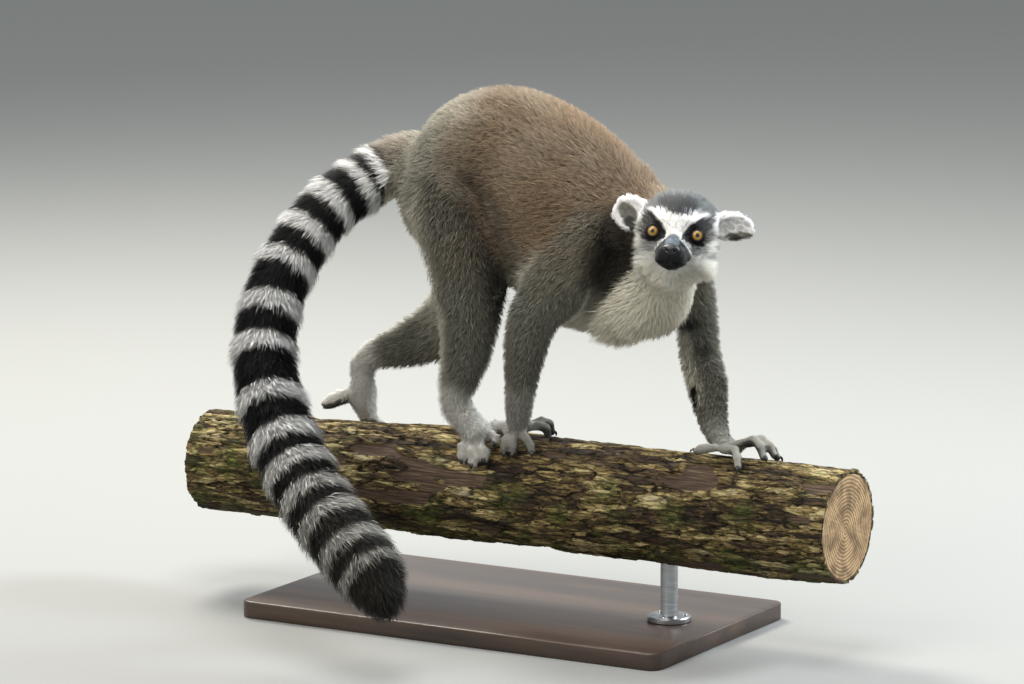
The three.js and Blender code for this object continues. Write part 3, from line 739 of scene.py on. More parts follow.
def trunk_marks(colour, points, normals, owner, ragged, broad):
    """Grey rump and sides, rufous back and shoulders, cream underneath."""
    x, _, z = points.T
    on_body = belongs(owner, "trunk", "neck", "arm", "leg")
    trunk_side = belongs(owner, "trunk", "neck")
    breast = belongs(owner, "trunk", "throat")
    warm = step(-75, 5, x + 14 * broad) * step(AXIS_HEIGHT + 185, AXIS_HEIGHT + 245, z + 10 * broad)
    colour = blend(colour, "back grey", trunk_side * 1.0)
    colour = blend(colour, "rufous", on_body * warm * (0.85 + 0.25 * broad) * np.where(trunk_side, 1, 0.5))
    belly = np.interp(x, [-97, -20, 20, 73, 112, 152, 170], [222, 208, 180, 156, 178, 214, 245]) + AXIS_HEIGHT
    under = (1 - step(-4, 6, z - belly + 4 * ragged)) * breast
    under = np.maximum(under, step(0.45, 0.75, -normals[:, 2] + 0.1 * ragged) * belongs(owner, "trunk"))
    front = step(0.35, 0.7, normals[:, 0] + 0.1 * ragged) * step(120, 140, x) * breast
    front *= 1 - step(262, 285, z - AXIS_HEIGHT)
    colour = blend(colour, "cream", np.maximum(under, front))
    colour = blend(colour, "cream", belongs(owner, "throat") * step(158, 170, x + 3 * ragged))
    # In the fold before the hip the coat is darkened with painted shade, and behind the thigh it is paler.
    in_fold = np.exp(-(off_path(points, HIP_FOLD) / 21) ** 2) * belongs(owner, "trunk", "leg_right")
    colour = blend(colour, "shade", 0.9 * in_fold)
    behind = step(0.3, 0.8, -normals[:, 0] + 0.15 * ragged) * belongs(owner, "leg", "trunk")
    return blend(colour, "cream", behind * (z < AXIS_HEIGHT + 285) * 0.6)


def limb_marks(colour, points, normals, owner, arc, ragged):
    """Paler inner sides of the limbs, light grey hands and nearly white feet, with dark skin between."""
    x, y, z = points.T
    inner = np.where(belongs(owner, "arm_right", "leg_right"), normals[:, 1], -normals[:, 1])
    inner = np.where(belongs(owner, "arm_left"), normals @ [-0.87, -0.5, 0] + 0.1, inner)
    high = np.select([belongs(owner, "arm_left"), belongs(owner, "arm")],
                     [1 - step(125, 160, arc), 1 - step(60, 110, arc)], 1 - step(80, 170, arc))
    inner = step(0.45, 0.85, inner + 0.1 * ragged) * belongs(owner, "arm", "leg")
    colour = blend(colour, "cream", 0.75 * inner * high)
    for name, wrist in (("arm_right", 168), ("arm_left", 172), ("leg_right", 190), ("leg_left", 216)):
        end = "hand grey" if name.startswith("arm") else "foot white"
        colour = blend(colour, end, belongs(owner, name) * step(wrist - 14, wrist + 8, arc + 4 * ragged))
    colour = blend(colour, "hand grey", belongs(owner, "hand") * 1.0)
    colour = blend(colour, "foot white", belongs(owner, "foot") * 1.0)
    # Dark skin shows on the sides and pads of the digits, and there is a dark gland on the far forearm.
    outward = np.stack([0 * x, y, z - AXIS_HEIGHT], axis=1)
    outward /= np.linalg.norm(outward, axis=1)[:, None]
    topside = np.sum(outward * normals, axis=1)
    colour = blend(colour, "pad", belongs(owner, "hand") * step(0.55, 0.1, topside) * step(8, 20, arc) * 0.85)
    colour = blend(colour, "pad", belongs(owner, "foot") * step(-0.1, -0.5, topside) * 0.85)
    # The near hand's fingers are darkened overall with painted shade, so they read darker than the far
    # hand's.
    colour = blend(colour, "pad", belongs(owner, "hand_right") * step(6, 18, arc) * 0.45)
    colour = blend(colour, "pad", spot(points, GLAND, [7, 7, 15], 0.75, 1.0) * belongs(owner, "arm_left"))
    # The dark patch at the far armpit is painted shade between the neck and the far arm, over streaks of
    # darker hair; a smaller dark patch lies at the far elbow.
    for middle, radii, amount in ((ARMPIT, [17, 32, 10], 0.9), (FAR_ELBOW, [14, 14, 10], 0.6)):
        colour = blend(colour, "cap", spot(points, middle, radii, ragged=0.2 * ragged) * amount)
    return colour


def face_marks(points, ragged):
    """Grey crown with a dark cap, white forehead and cheeks, black round the eyes and a dark muzzle."""
    forward, left, up = from_head(points).T
    a = np.abs(left)
    face = np.tile(PALETTE["cheek"], (len(points), 1))
    cap_edge = 13 - 0.12 * a + 1.0 * ragged
    back_edge = np.interp(forward, [-62, -40, -24, -8], [-14, -6, 3, 0])
    grey_top = step(0, 3, up - np.where(forward < -14, np.minimum(cap_edge, back_edge + 0.3 * a), cap_edge))
    face = blend(face, "crown grey", grey_top)
    face = blend(face, "cap", inside((left, up + ragged), (0, 23), (17, 7)) * 0.95 * (forward > -30))
    face = blend(face, "cap", grey_top * 0.25)
    # The white of the forehead comes down between the eyes.
    vee_low = np.where(a < 15, 0.95 * a - 2.5, 11.8 + 0.15 * (a - 15))
    vee_top = 14.2 + 0.12 * a
    vee = step(-0.8, 0.8, up - vee_low) * (1 - step(-1.0, 1.2, up - vee_top + 0.8 * ragged))
    face = blend(face, "white", vee * (1 - step(22, 26, a)) * (forward > -25))
    # Eye patches, greyer below, and between them the grey nose bridge, lightened and tinted blue with a
    # painted highlight.
    below = np.maximum(inside((a, up), (16, -11), (9.2, 7.5)), inside((a, up), (11, -9), (6, 6)))
    face = blend(face, "under eye", below * (forward > -12) * (0.8 + 0.3 * ragged))
    face = blend(face, "bridge", inside((left, up), (0, -9.5), (6.8, 7.5)) * (forward > 2))
    patch = np.maximum.reduce([
        inside((a, up), (18.1, 0.4), (9.8, 11.0)), inside((a, up), (21.6, 8.0), (5.5, 6.5)),
        inside((a, up), (12, -2.5), (5.4, 4.6))])
    face = blend(face, "black", patch * (forward > -14))
    # The muzzle by its half width at each height, edged with white.
    half = np.interp(up, [-34, -33, -30, -25, -20, -15, -10, -6, -4], [0, 9, 13.6, 16, 16, 14.6, 11, 7, 0])
    ahead = forward > 3
    outside = a - half
    face = blend(face, "white", (1 - step(0.7, 1.9, outside)) * (half > 0) * ahead)
    face = blend(face, "muzzle", (1 - step(-0.5, 0.5, outside)) * (half > 0) * ahead)
    face = blend(face, "black", step(-13, -17, up) * (1 - step(8, 13, a)) * (half > 0) * ahead * 0.7)
    # The bridge's blue-grey painted highlight is laid again over the top of the muzzle.
    face = blend(face, "bridge", inside((left, up), (0, -8), (6.6, 7.4)) * ahead)
    face = blend(face, "under eye", inside((a, up), (27, -17.5), (3, 4.5)) * 0.6 * (forward > -20))
    return blend(face, "cream", step(-20, -34, up) * (outside > 1.5) * 0.8)


def nape_marks(colour, points, owner, ragged):
    """Grey nape, cream below the ears, and painted shadow in the hollows at the near shoulder and neck."""
    x, y, z = points.T
    nape = belongs(owner, "neck")
    colour = blend(colour, "crown grey", nape * step(160, 178, x) * 0.7)
    low_nape = nape * (1 - step(-4, 10, z - AXIS_HEIGHT - 238 + 4 * ragged))
    colour = blend(colour, "cream", low_nape * step(128, 150, x))
    near_side = (y < -8) * ~belongs(owner, "throat", "head", "ear")
    # Painted shadow: the near shoulder and the neck below the ear are darkened with the shade colour.
    hollow = spot(points, SHOULDER_SHADOW_MIDDLE, [36, 36, 50], 0.5, 1.15, 0.12 * ragged)
    colour = blend(colour, "shade", hollow * 0.92 * near_side * (1 - step(154, 164, x + 3 * ragged)))
    hollow = spot(points, NECK_SHADOW_MIDDLE, [24, 26, 30], 0.55, 1.15, 0.12 * ragged)
    return blend(colour, "shade", hollow * 0.85 * near_side)


def ear_marks(ear, points, normals, ragged):
    """White outside and round the rim, grey and bare in the bowl, darkest at the bowl's bottom."""
    axis, bowl, broad, root = ear_frame(ear)
    faces_out = (normals @ HEAD_AXES.T) @ bowl
    off = from_head(points) - root
    reach, high = off @ axis, off @ broad + 0.5 * ragged
    along, low, slant, half_long, half_high = ear["hollow"]
    level = high - slant * (reach - along)
    hollow = step(0.0, 0.35, faces_out) * inside((reach, level), (along, low), (half_long, half_high))
    deepest = inside((reach, high), (along - 4, low - 5), (9, 6))
    white = np.tile(PALETTE["white"], (len(points), 1))
    return blend(blend(white, "ear hollow", hollow), "pad", 0.8 * hollow * deepest)


def tail_marks(arc, ragged):
    """Black and white rings, softer and greyer towards the tip, with edges where long hairs overlap."""
    ringed = np.zeros(len(arc))
    shifted = arc + 2.6 * ragged
    for centre, half in TAIL_RINGS:
        ringed = np.maximum(ringed, 1 - step(half - 2.2, half + 2.2, np.abs(shifted - centre)))
    lower = step(330, 500, arc)[:, None]
    dark_part = PALETTE["black"] + (PALETTE["tail end"] - PALETTE["black"]) * lower
    pale_part = PALETTE["white"] + (PALETTE["tail grey"] - PALETTE["white"]) * lower * 0.85
    tail = dark_part + (pale_part - dark_part) * (ringed * (1.0 - 0.25 * lower[:, 0]))[:, None]
    return blend(tail, "tail root", 1 - step(34, 41, shifted))


def markings(points, normals, owner, arc):
    """The coat's colour at each point, as linear red, green and blue."""
    ragged = noise(points / 5, 71, 2)
    broad = noise(points / 34, 73, 2)
    colour = np.tile(PALETTE["limb grey"], (len(points), 1))
    colour = trunk_marks(colour, points, normals, owner, ragged, broad)
    colour = limb_marks(colour, points, normals, owner, arc, ragged)
    colour = np.where(belongs(owner, "head")[:, None], face_marks(points, ragged), colour)
    colour = nape_marks(colour, points, owner, ragged)
    for ear_side, ear in EARS.items():
        mine = belongs(owner, f"ear_{ear_side}")[:, None]
        colour = np.where(mine, ear_marks(ear, points, normals, ragged), colour)
    colour = np.where(belongs(owner, "tail")[:, None], tail_marks(arc, ragged), colour)
    return np.clip(colour, 0.002, 1)


# ---- Skin ----
# One closed hide over the whole animal, from the nose to the tail's tip, that lies under the coat by its
# depth. Flesh is filled in where limbs meet the trunk, and the face is modelled in it: brows, sockets with
# lids, bridge, whisker pads and the line of the mouth.
FLESH = ["trunk", "head", "neck", "ear_right", "ear_left"]
FLESH += [f"{part}_{side}" for part in ("upper_arm", "forearm", "hand", "thigh", "shank", "foot")
          for side in ("right", "left")]
FLESH += [f"tail_{k}" for k in range(1, 6)]
SWELL = 0.5 * MM
VOXEL = 1.7 * MM
copies = []
for name in FLESH:
    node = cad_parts[name]
    copy = bpy.data.objects.new(f"flesh_{name}", node.data.copy())
    copy.data.materials.clear()
    bpy.context.scene.collection.objects.link(copy)
    bpy.ops.object.select_all(action="DESELECT")
    copy.select_set(True)
    bpy.context.view_layer.objects.active = copy
    bpy.ops.object.mode_set(mode="EDIT")
    bpy.ops.mesh.select_all(action="SELECT")
    bpy.ops.mesh.remove_doubles(threshold=1e-5)
    bpy.ops.object.mode_set(mode="OBJECT")
    swell_out = copy.modifiers.new("closes the gaps", "DISPLACE")
    swell_out.strength = SWELL
    swell_out.mid_level = 0
    bpy.ops.object.modifier_apply(modifier=swell_out.name)
    copies.append(copy)
# Flesh between the limbs and the trunk: (place over the log's axis, half sizes), in millimetres.
FILLS = [
    ((78, -30, 258), (44, 28, 52)), ((60, -36, 205), (26, 20, 36)), ((128, 24, 228), (34, 26, 44)),
    ((150, 20, 200), (24, 22, 30)), ((-45, -28, 268), (46, 28, 56)), ((-60, 24, 262), (42, 28, 54)),
    ((150, -2, 214), (22, 20, 32)), ((-30, -52, 262), (28, 14, 30)), ((-187, 42, 88), (14, 14, 17)),
    ((-183, 37, 66), (15, 15, 24)), ((-96, 4, 298), (26, 24, 26)), ((166, 12, 225), (20, 24, 26)),
]
FILLS = [((x, y, AXIS_HEIGHT + height), radii) for (x, y, height), radii in FILLS]
# In the cheeks, under the jaw, at the breast and round the eyes.
FILLS += [(on_head(-16, side * 19, -29), (18, 16, 14)) for side in (-1, 1)]
FILLS += [(on_head(-22, 0, -36), (24, 26, 18)), ((160, -34, AXIS_HEIGHT + 196), (18, 18, 30))]
FILLS += [(on_head(-1, side * 19.5, 0), (10.8, 10.8, 10.8)) for side in (-1, 1)]
for middle, radii in FILLS:
    bpy.ops.object.select_all(action="DESELECT")
    bpy.ops.mesh.primitive_uv_sphere_add(segments=32, ring_count=20, radius=1)
    fill = bpy.context.object
    fill.data.transform(Matrix.Translation([c * MM for c in middle])
                        @ Matrix.Diagonal([r * MM for r in radii] + [1]))
    copies.append(fill)
# Each digit's flesh: balls set close along it, thick for the furred toes and slimmer for the fingers.
bpy.ops.object.select_all(action="DESELECT")
bpy.ops.mesh.primitive_ico_sphere_add(subdivisions=2, radius=1)
flesh = bpy.context.object
unit_ball = get_points(flesh.data)
ball_faces = np.array([tuple(face.vertices) for face in flesh.data.polygons])
middles, reaches = [], []
for name in LINE_NAMES:
    if not name.startswith(("hand", "foot")):
        continue
    row_places = lines[LINE_NAMES.index(name)]["places"]
    row_arcs = lines[LINE_NAMES.index(name)]["arcs"]
    base, tip = {"hand": (4.6, 3.9), "foot": (5.9, 4.7)}[name[:4]]
    if name == "foot_left_0":
        base, tip = 9.4, 6.2
    for at in np.arange(0, row_arcs[-1], 2.0):
        middles.append([np.interp(at, row_arcs, row_places[:, k]) for k in range(3)])
        knuckle = sum(math.exp(-((at - joint) / 3.2) ** 2) for joint in row_arcs[1:3])
        reaches.append(base + (tip - base) * at / row_arcs[-1] + 0.9 * knuckle - 0.4)
middles, reaches = np.array(middles), np.array(reaches)
balls = (middles[:, None] + unit_ball[None] * reaches[:, None, None]).reshape(-1, 3) * MM
faces = (ball_faces[None] + np.arange(len(middles))[:, None, None] * len(unit_ball)).reshape(-1, 3)
flesh.data.clear_geometry()
flesh.data.from_pydata(balls.tolist(), [], faces.tolist())
copies.append(flesh)
bpy.ops.object.select_all(action="DESELECT")
for copy in copies:
    copy.select_set(True)
skin = copies[0]
bpy.context.view_layer.objects.active = skin
bpy.ops.object.join()
skin.name = "skin"
skin.data.name = "skin"
skin.data.remesh_voxel_size = VOXEL
bpy.ops.object.voxel_remesh()


def neighbours(mesh):
    pairs = np.empty(len(mesh.edges) * 2, np.int32)
    mesh.edges.foreach_get("vertices", pairs)
    return pairs.reshape(-1, 2)


def smooth(points, pairs, times, strength):
    """Draws each point towards the mean of its neighbours."""
    here, there = np.concatenate([pairs, pairs[:, ::-1]]).T
    count = np.maximum(np.bincount(here, minlength=len(points)), 1)[:, None]
    for _ in range(times):
        total = np.stack([np.bincount(here, points[there, k], len(points)) for k in range(3)], axis=1)
        points = points + (total / count - points) * strength
    return points


def get_normals(mesh):
    flat = np.empty(len(mesh.vertices) * 3)
    mesh.vertices.foreach_get("normal", flat)
    return flat.reshape(-1, 3)


points = get_points(skin.data) * 1000
pairs = neighbours(skin.data)
owner, _, _, sizes = read_body(points)
fine = belongs(owner, "hand", "foot", "ear")
kept = fine | belongs(owner, "head") | (belongs(owner, "arm", "leg") & (sizes[:, 0] < 24))
points = smooth(points, pairs, 3, 0.5)
points = smooth(points, pairs, 14, np.where(fine, 0, 0.5)[:, None])
points = smooth(points, pairs, 36, np.where(kept, 0, 0.5)[:, None])
set_points(skin.data, points * MM)
inward = get_normals(skin.data)
points = points - inward * np.where(fine, sizes[:, 1] - 0.35, sizes[:, 1] + 0.3)[:, None]
points = smooth(points, pairs, 1, 0.4)
set_points(skin.data, points * MM)

# The body's hide is coarse where long hair covers it, and stays fine on the head, hands, feet and ears.
fine = belongs(read_body(points)[0], "hand", "foot", "ear", "head")
coarse_group = skin.vertex_groups.new(name="coarse")
coarse_group.add([int(i) for i in np.flatnonzero(~fine)], 1.0, "REPLACE")
thinned = skin.modifiers.new("coarser body", "DECIMATE")
thinned.ratio = 0.30
thinned.vertex_group = "coarse"
bpy.ops.object.select_all(action="DESELECT")
skin.select_set(True)
bpy.context.view_layer.objects.active = skin
bpy.ops.object.modifier_apply(modifier=thinned.name)
skin.vertex_groups.clear()


def subdivide_where(chosen):
    """Halves the faces whose vertices are all chosen."""
    tags = chosen.tolist()
    select_parts(skin.data, faces=lambda face: all(tags[i] for i in face.vertices))
    bpy.ops.object.mode_set(mode="EDIT")
    bpy.ops.mesh.subdivide(number_cuts=1)
    bpy.ops.object.mode_set(mode="OBJECT")


# Each eye is this far aside, and its lids lie this far out and open this many degrees wide and tall.
EYE_SIDE = 19.5
LID_REACH, LID_WIDE, LID_TALL = 8.3, 38.5, 36
in_head = from_head(get_points(skin.data) * 1000)
subdivide_where((in_head[:, 0] > -13) & (np.abs(in_head[:, 1]) < 34) & (np.abs(in_head[:, 2]) < 40))
in_head = from_head(get_points(skin.data) * 1000)
by_eye = (np.linalg.norm(np.abs(in_head) - [0, EYE_SIDE, 0], axis=1) < 15) & (in_head[:, 0] > 0)
snout = (in_head[:, 0] > 16) & (np.abs(in_head[:, 1]) < 18)
subdivide_where(by_eye | snout)

points = get_points(skin.data) * 1000
pairs = neighbours(skin.data)
head = from_head(points)
face_zone = ((head[:, 0] > -16) & (np.abs(head[:, 1]) < 36))[:, None]
points = smooth(points, pairs, 4, np.where(face_zone, 0.5, 0))
set_points(skin.data, points * MM)


def push(points, normals, centre, radii, amount):
    """Raises or hollows the face round a place, on both sides of it alike."""
    head = from_head(points)
    head[:, 1] = np.abs(head[:, 1])
    reach = np.sum(((head - centre) / radii) ** 2, axis=1)
    return points + normals * (amount * np.exp(-reach))[:, None]


# (forward, aside, up), how far it reaches each way, and how far it rises, in millimetres.
FACE_FORMS = [
    ((4, 19, 12), (7, 9, 4), 1.6),      # brow
    ((2, 5, 2), (8, 5, 7), -1.0),       # between the eyes
    ((16, 0, -6), (12, 3.5, 4), 1.3),   # bridge
    ((12, 12, -8), (7, 5, 6), -2.2),    # hollow beside the bridge
    ((2, 27, -9), (8, 6, 5), 1.4),      # cheek bone
    ((28, 8, -23), (6, 5, 5), 1.5),     # whisker pads
    ((23, 12, -26), (7, 4, 4), 1.6),    # corners of the muzzle
    ((24, 9, -11), (8, 4, 4), -2.0),    # sides of the bridge
    ((12, 19, -20), (7, 5, 6), -1.2),   # behind the whisker pads
    ((29, 0, -31), (5, 6, 3), 0.8),     # chin
    ((35, 0, -24), (4, 1.1, 4), -1.3),  # groove under the nose
]
for centre, radii, amount in FACE_FORMS:
    points = push(points, get_normals(skin.data), centre, radii, amount)
set_points(skin.data, points * MM)

# The mouth is a fold from under the nose back below the whisker pads.
MOUTH = np.array([(39, 0, -26.5), (34, 7, -27.0), (26, 11.5, -28.2), (17, 14.5, -29.5), (8, 17.5, -29.5)])
head = from_head(points)
head[:, 1] = np.abs(head[:, 1])
off_mouth = off_path(head, MOUTH, [0.5, 0.7, 1])
points = points - get_normals(skin.data) * (2.4 * np.exp(-off_mouth ** 2))[:, None]

# The fold between belly and hip, with the haunch standing out behind it.
in_fold = np.exp(-(off_path(points, HIP_FOLD) / 10) ** 2)
in_fold *= belongs(read_body(points)[0], "trunk", "leg_right")
points = points + [0, 1, 0] * (13 * in_fold)[:, None]
# The far ear is turned away, so that its lower half shows narrow.
_, _, broad, root = ear_frame(EARS["left"])
low = np.minimum((from_head(points) - root) @ broad + 1, 0) * belongs(read_body(points)[0], "ear_left")
points = points - (0.38 * low)[:, None] * (broad @ HEAD_AXES)

# Each eye opens in a ring of lid that lies on the eyeball, with a fold over the upper one.
gaze = {}
for side_name, sign in (("right", -1), ("left", 1)):
    middle = on_head(0, EYE_SIDE * sign, 0)
    look = np.array([1, 0.07 * sign, 0.01]) @ HEAD_AXES
    look /= np.linalg.norm(look)
    outer = np.cross(HEAD_UP, look) * sign
    outer /= np.linalg.norm(outer)
    over = np.cross(look, outer) * sign
    gaze[side_name] = (middle, look, outer, over)
    off = points - middle
    away = np.linalg.norm(off, axis=1)
    ray = off / away[:, None]
    tilt = np.arccos(np.clip(ray @ look, -1, 1))
    turn = np.arctan2(ray @ over, ray @ outer)
    opening = np.radians(LID_WIDE) * np.cos(turn) ** 2 + np.radians(LID_TALL) * np.sin(turn) ** 2
    share = tilt / opening
    near = (1 - step(10.5, 14, away)) * (share < 2.6)
    lid = LID_REACH - 1.9 * (1 - step(0.86, 1.0, share)) + 0.35 * np.exp(-((share - 1.12) / 0.1) ** 2)
    fold = -0.55 * np.exp(-((share - 1.5) / 0.09) ** 2) * step(-0.2, 0.6, np.sin(turn))
    outer_skin = away + np.maximum(LID_REACH - away, 0) * (1 - step(1.9, 2.5, share))
    joined = lid + (outer_skin - lid) * step(1.15, 2.3, share) + fold
    points = points + ray * (near * (joined - away))[:, None]
set_points(skin.data, points * MM)

# Flat layout of the skin: each line's stretch is a strip, its length across and its girth up, with the
# strips set out side by side.
STRIP_MARGIN = 24
SHEET_WIDTH = 980
strips = {}
cursor_x = cursor_y = row_height = 0
for index in sorted(range(len(lines)), key=lambda i: -lines[i]["sizes"][:, 0].mean()):
    wide = lines[index]["arcs"][-1] + 2 * STRIP_MARGIN
    tall = 2 * math.pi * lines[index]["sizes"][:, 0].mean()
    if cursor_x + wide > SHEET_WIDTH:
        cursor_x, cursor_y, row_height = 0, cursor_y + row_height + 6, 0
    strips[index] = (cursor_x, cursor_y, wide, tall)
    cursor_x += wide + 6
    row_height = max(row_height, tall)
SHEET_SIZE = max(SHEET_WIDTH, cursor_y + row_height) + 8


def flat_place(index, arc, round_it):
    """The place of a point of one line's stretch in the flat layout, from 0 to 1."""
    left, low, wide, tall = strips[index]
    across = left + np.clip(arc + STRIP_MARGIN, 1, wide - 1)
    up = low + 4 + (round_it / (2 * math.pi) + 0.5) * (tall - 8)
    return np.stack([across + 4, up + 4], axis=-1) / SHEET_SIZE


owner, arc, _, sizes = read_body(points)
corner_count = len(skin.data.loops)
corner_vertex = np.empty(corner_count, np.int32)
skin.data.loops.foreach_get("vertex_index", corner_vertex)
face_start = np.empty(len(skin.data.polygons), np.int32)
face_total = np.empty(len(skin.data.polygons), np.int32)
skin.data.polygons.foreach_get("loop_start", face_start)
skin.data.polygons.foreach_get("loop_total", face_total)
corner_face = np.repeat(np.arange(len(face_start)), face_total)
face_owner = owner[corner_vertex[face_start]]
corner_place = np.zeros((corner_count, 2))
for index in range(len(lines)):
    mine = face_owner[corner_face] == index
    if not mine.any():
        continue
    _, arc_here, turn_here, _, _ = on_line(index, points[corner_vertex[mine]])
    _, _, turn_first, _, _ = on_line(index, points[corner_vertex[face_start[corner_face[mine]]]])
    turn_here = turn_here - 2 * math.pi * np.round((turn_here - turn_first) / (2 * math.pi))
    corner_place[mine] = flat_place(index, arc_here, turn_here)
layout = skin.data.uv_layers.new(name="OFBake")
layout.data.foreach_set("uv", corner_place.astype(np.float32).ravel())

# The hide shows through the short hair of the face, hands and feet, and is a shade darker than the coat.
normals = get_normals(skin.data)
hide_colour = markings(points, normals, owner, arc)
bare_share = np.clip(1 - sizes[:, 1] / 3, 0, 1)[:, None]
hide_colour = hide_colour * np.where(belongs(owner, "ear")[:, None], 0.95, 0.5 + 0.42 * bare_share)
head = from_head(points)
lip_line = np.exp(-(off_mouth / 0.8) ** 2) * (head[:, 0] > 2)
hide_colour = blend(hide_colour, "black", lip_line)
set_attribute(skin.data, "coat_colour", "FLOAT_COLOR", np.column_stack([hide_colour, np.ones(len(points))]))
skin.data.polygons.foreach_set("use_smooth", np.ones(len(skin.data.polygons), bool))

# Hide with short close hair: matt, with a fine nap that runs as grain about a third of a millimetre wide.
hide, surface = new_material("hide with short hair")
nap = cloud(hide, object_place(hide), 1500, 3, 0.7)
nap_shade = ramp(hide, nap, [(0.3, "#bebebe"), (0.7, "#ffffff")])
napped = mix(hide, 1.0, stored(hide, "coat_colour", "Color"), nap_shade, "MULTIPLY")
set_surface(surface, napped, 0.8, Specular_IOR_Level=0.2)
bump(hide, surface, nap, 0.5, 0.0005)
skin.data.materials.append(hide)
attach(skin, "root")
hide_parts(*FLESH)

# ---- Eyes ----
# Round amber eyes, each a ball with a slightly raised cornea, a small black pupil, a fine dark edge to the
# iris and next to no white showing, set in a wet black lid margin.
BALL_RADIUS, MARGIN_RADIUS, MARGIN_THICK = 7.7, 5.12, 0.46
MARGIN_OUT = 8.15

iris, surface = new_material("amber iris under wet cornea")
fibres = cloud(iris, object_place(iris), 900, 4, 0.6)
reach = times_plus(iris, times_plus(iris, fibres, 0.05, -0.025), 1.0, stored(iris, "from_pupil"))
iris_colour = ramp(iris, reach, [
    (0.0, "#020202"), (0.125, "#020202"), (0.15, "#3a280a"), (0.21, "#a07e2e"), (0.36, "#926d20"),
    (0.455, "#6f4c14"), (0.485, "#1c1205"), (0.52, "#050403"), (1.0, "#050403")])
set_surface(surface, iris_colour, 0.35, Coat_Weight=1.0, Coat_Roughness=0.02, Coat_IOR=1.376)

# Wet black skin of the lids' edges, finely grained.
rim, surface = new_material("wet black lid margin")
set_surface(surface, "#0b0a0b", 0.45)
bump(rim, surface, cloud(rim, object_place(rim), 1800, 2), 0.2, 0.0002)

for side_name in ("right", "left"):
    middle, look, outer, over = gaze[side_name]
    turned = Matrix(np.stack([outer, np.cross(look, outer), look]).T.tolist()).to_4x4()
    placed = Matrix.Translation((middle * MM).tolist()) @ turned
    bpy.ops.object.select_all(action="DESELECT")
    bpy.ops.mesh.primitive_uv_sphere_add(segments=64, ring_count=80, radius=BALL_RADIUS * MM)
    ball = bpy.context.object
    ball.name = f"eye_{side_name}_ball"
    local = get_points(ball.data) * 1000
    off_pupil = np.arccos(np.clip(local[:, 2] / BALL_RADIUS, -1, 1)) * BALL_RADIUS
    raised = 0.5 * (1 - step(2.0, 8.0, off_pupil))
    set_points(ball.data, local * (1 + raised / BALL_RADIUS)[:, None] * MM)
    set_attribute(ball.data, "from_pupil", "FLOAT", off_pupil / 10)
    ball.data.transform(placed)
    bpy.ops.object.shade_smooth()
    ball.data.materials.append(iris)
    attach(ball, "root")
    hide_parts(f"eye_{side_name}")
    bpy.ops.object.select_all(action="DESELECT")
    bpy.ops.mesh.primitive_torus_add(
        major_segments=72, minor_segments=12, major_radius=MARGIN_RADIUS * MM, minor_radius=MARGIN_THICK * MM)
    margin = bpy.context.object
    margin.name = f"lid_margin_{side_name}"
    local = get_points(margin.data) * 1000
    local[:, 1] *= 0.93
    local[:, 2] += np.sqrt(MARGIN_OUT ** 2 - np.sum(local[:, :2] ** 2, axis=1).clip(0, 40))
    set_points(margin.data, local * MM)
    margin.data.transform(placed)
    bpy.ops.object.shade_smooth()
    margin.data.materials.append(rim)
    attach(margin, "root")

# ---- Nose ----
# The bare black nose leather: a rounded pad at the tip of the snout, with two comma nostrils that open to
# the sides and a groove down its middle.
NOSE_MIDDLE = (33.2, 0, -15.6)
leather, surface = new_material("moist nose leather")
set_surface(surface, "#121114", 0.42)
pebbles = add_node(leather, "ShaderNodeTexVoronoi", Vector=object_place(leather), Scale=2200)
bump(leather, surface, pebbles.outputs["Distance"], 0.35, 0.0002)
bpy.ops.object.select_all(action="DESELECT")
bpy.ops.mesh.primitive_uv_sphere_add(segments=96, ring_count=64, radius=1)
nose = bpy.context.object
nose.name = "nose_leather"
local = get_points(nose.data)
taper = 1 - 0.28 * step(0.1, -0.9, local[:, 2])
shaped = local * [5.4, 8.2, 5.4]
shaped[:, 1] *= taper
ahead, left, height = shaped.T
aside = np.abs(left)
comma = height + 0.2 - 0.35 * (aside - 4.2)
nostril = np.exp(-((aside - 4.2) / 1.8) ** 2 - (comma / 1.35) ** 2) * (ahead > 0)
slit = np.exp(-((aside - 6.5) / 1.6) ** 2 - ((height + 1.1) / 0.5) ** 2) * (ahead > -1)
groove = np.exp(-(left / 0.45) ** 2) * step(1.2, -0.6, height) * (ahead > 0)
shaped = shaped * (1 - 0.42 * nostril - 0.14 * slit - 0.07 * groove)[:, None]
set_points(nose.data, (on_head(*NOSE_MIDDLE) + shaped @ HEAD_AXES) * MM)
bpy.ops.object.shade_smooth()
nose.data.materials.append(leather)
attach(nose, "root")

# ---- Coat ----
# Every lock of hair is a thin three-sided spike that starts in the hide, rises to the coat's depth and lies
# over along the line of the body. Locks of one place lean together. Each carries one shade of the marking
# under its root, dark at the root and pale at the tip.
chance = np.random.default_rng(2008)

# How wide each lock's own patch of the flat layout is, and how many millimetres apart clumps of locks lie.
LOCK_PATCH = 0.003
CLUMP = 7.0

# Guard hair: a soft sheen, and fine lengths of lighter and darker along each lock.
guard, surface = new_material("guard hair")
strand_shade = ramp(guard, cloud(guard, object_place(guard), 1100, 2), [(0.3, "#dcdcdc"), (0.7, "#ffffff")])
stranded = mix(guard, 1.0, stored(guard, "coat_colour", "Color"), strand_shade, "MULTIPLY")
set_surface(surface, stranded, 0.62, Specular_IOR_Level=0.18, Sheen_Weight=0.06, Sheen_Roughness=0.4)

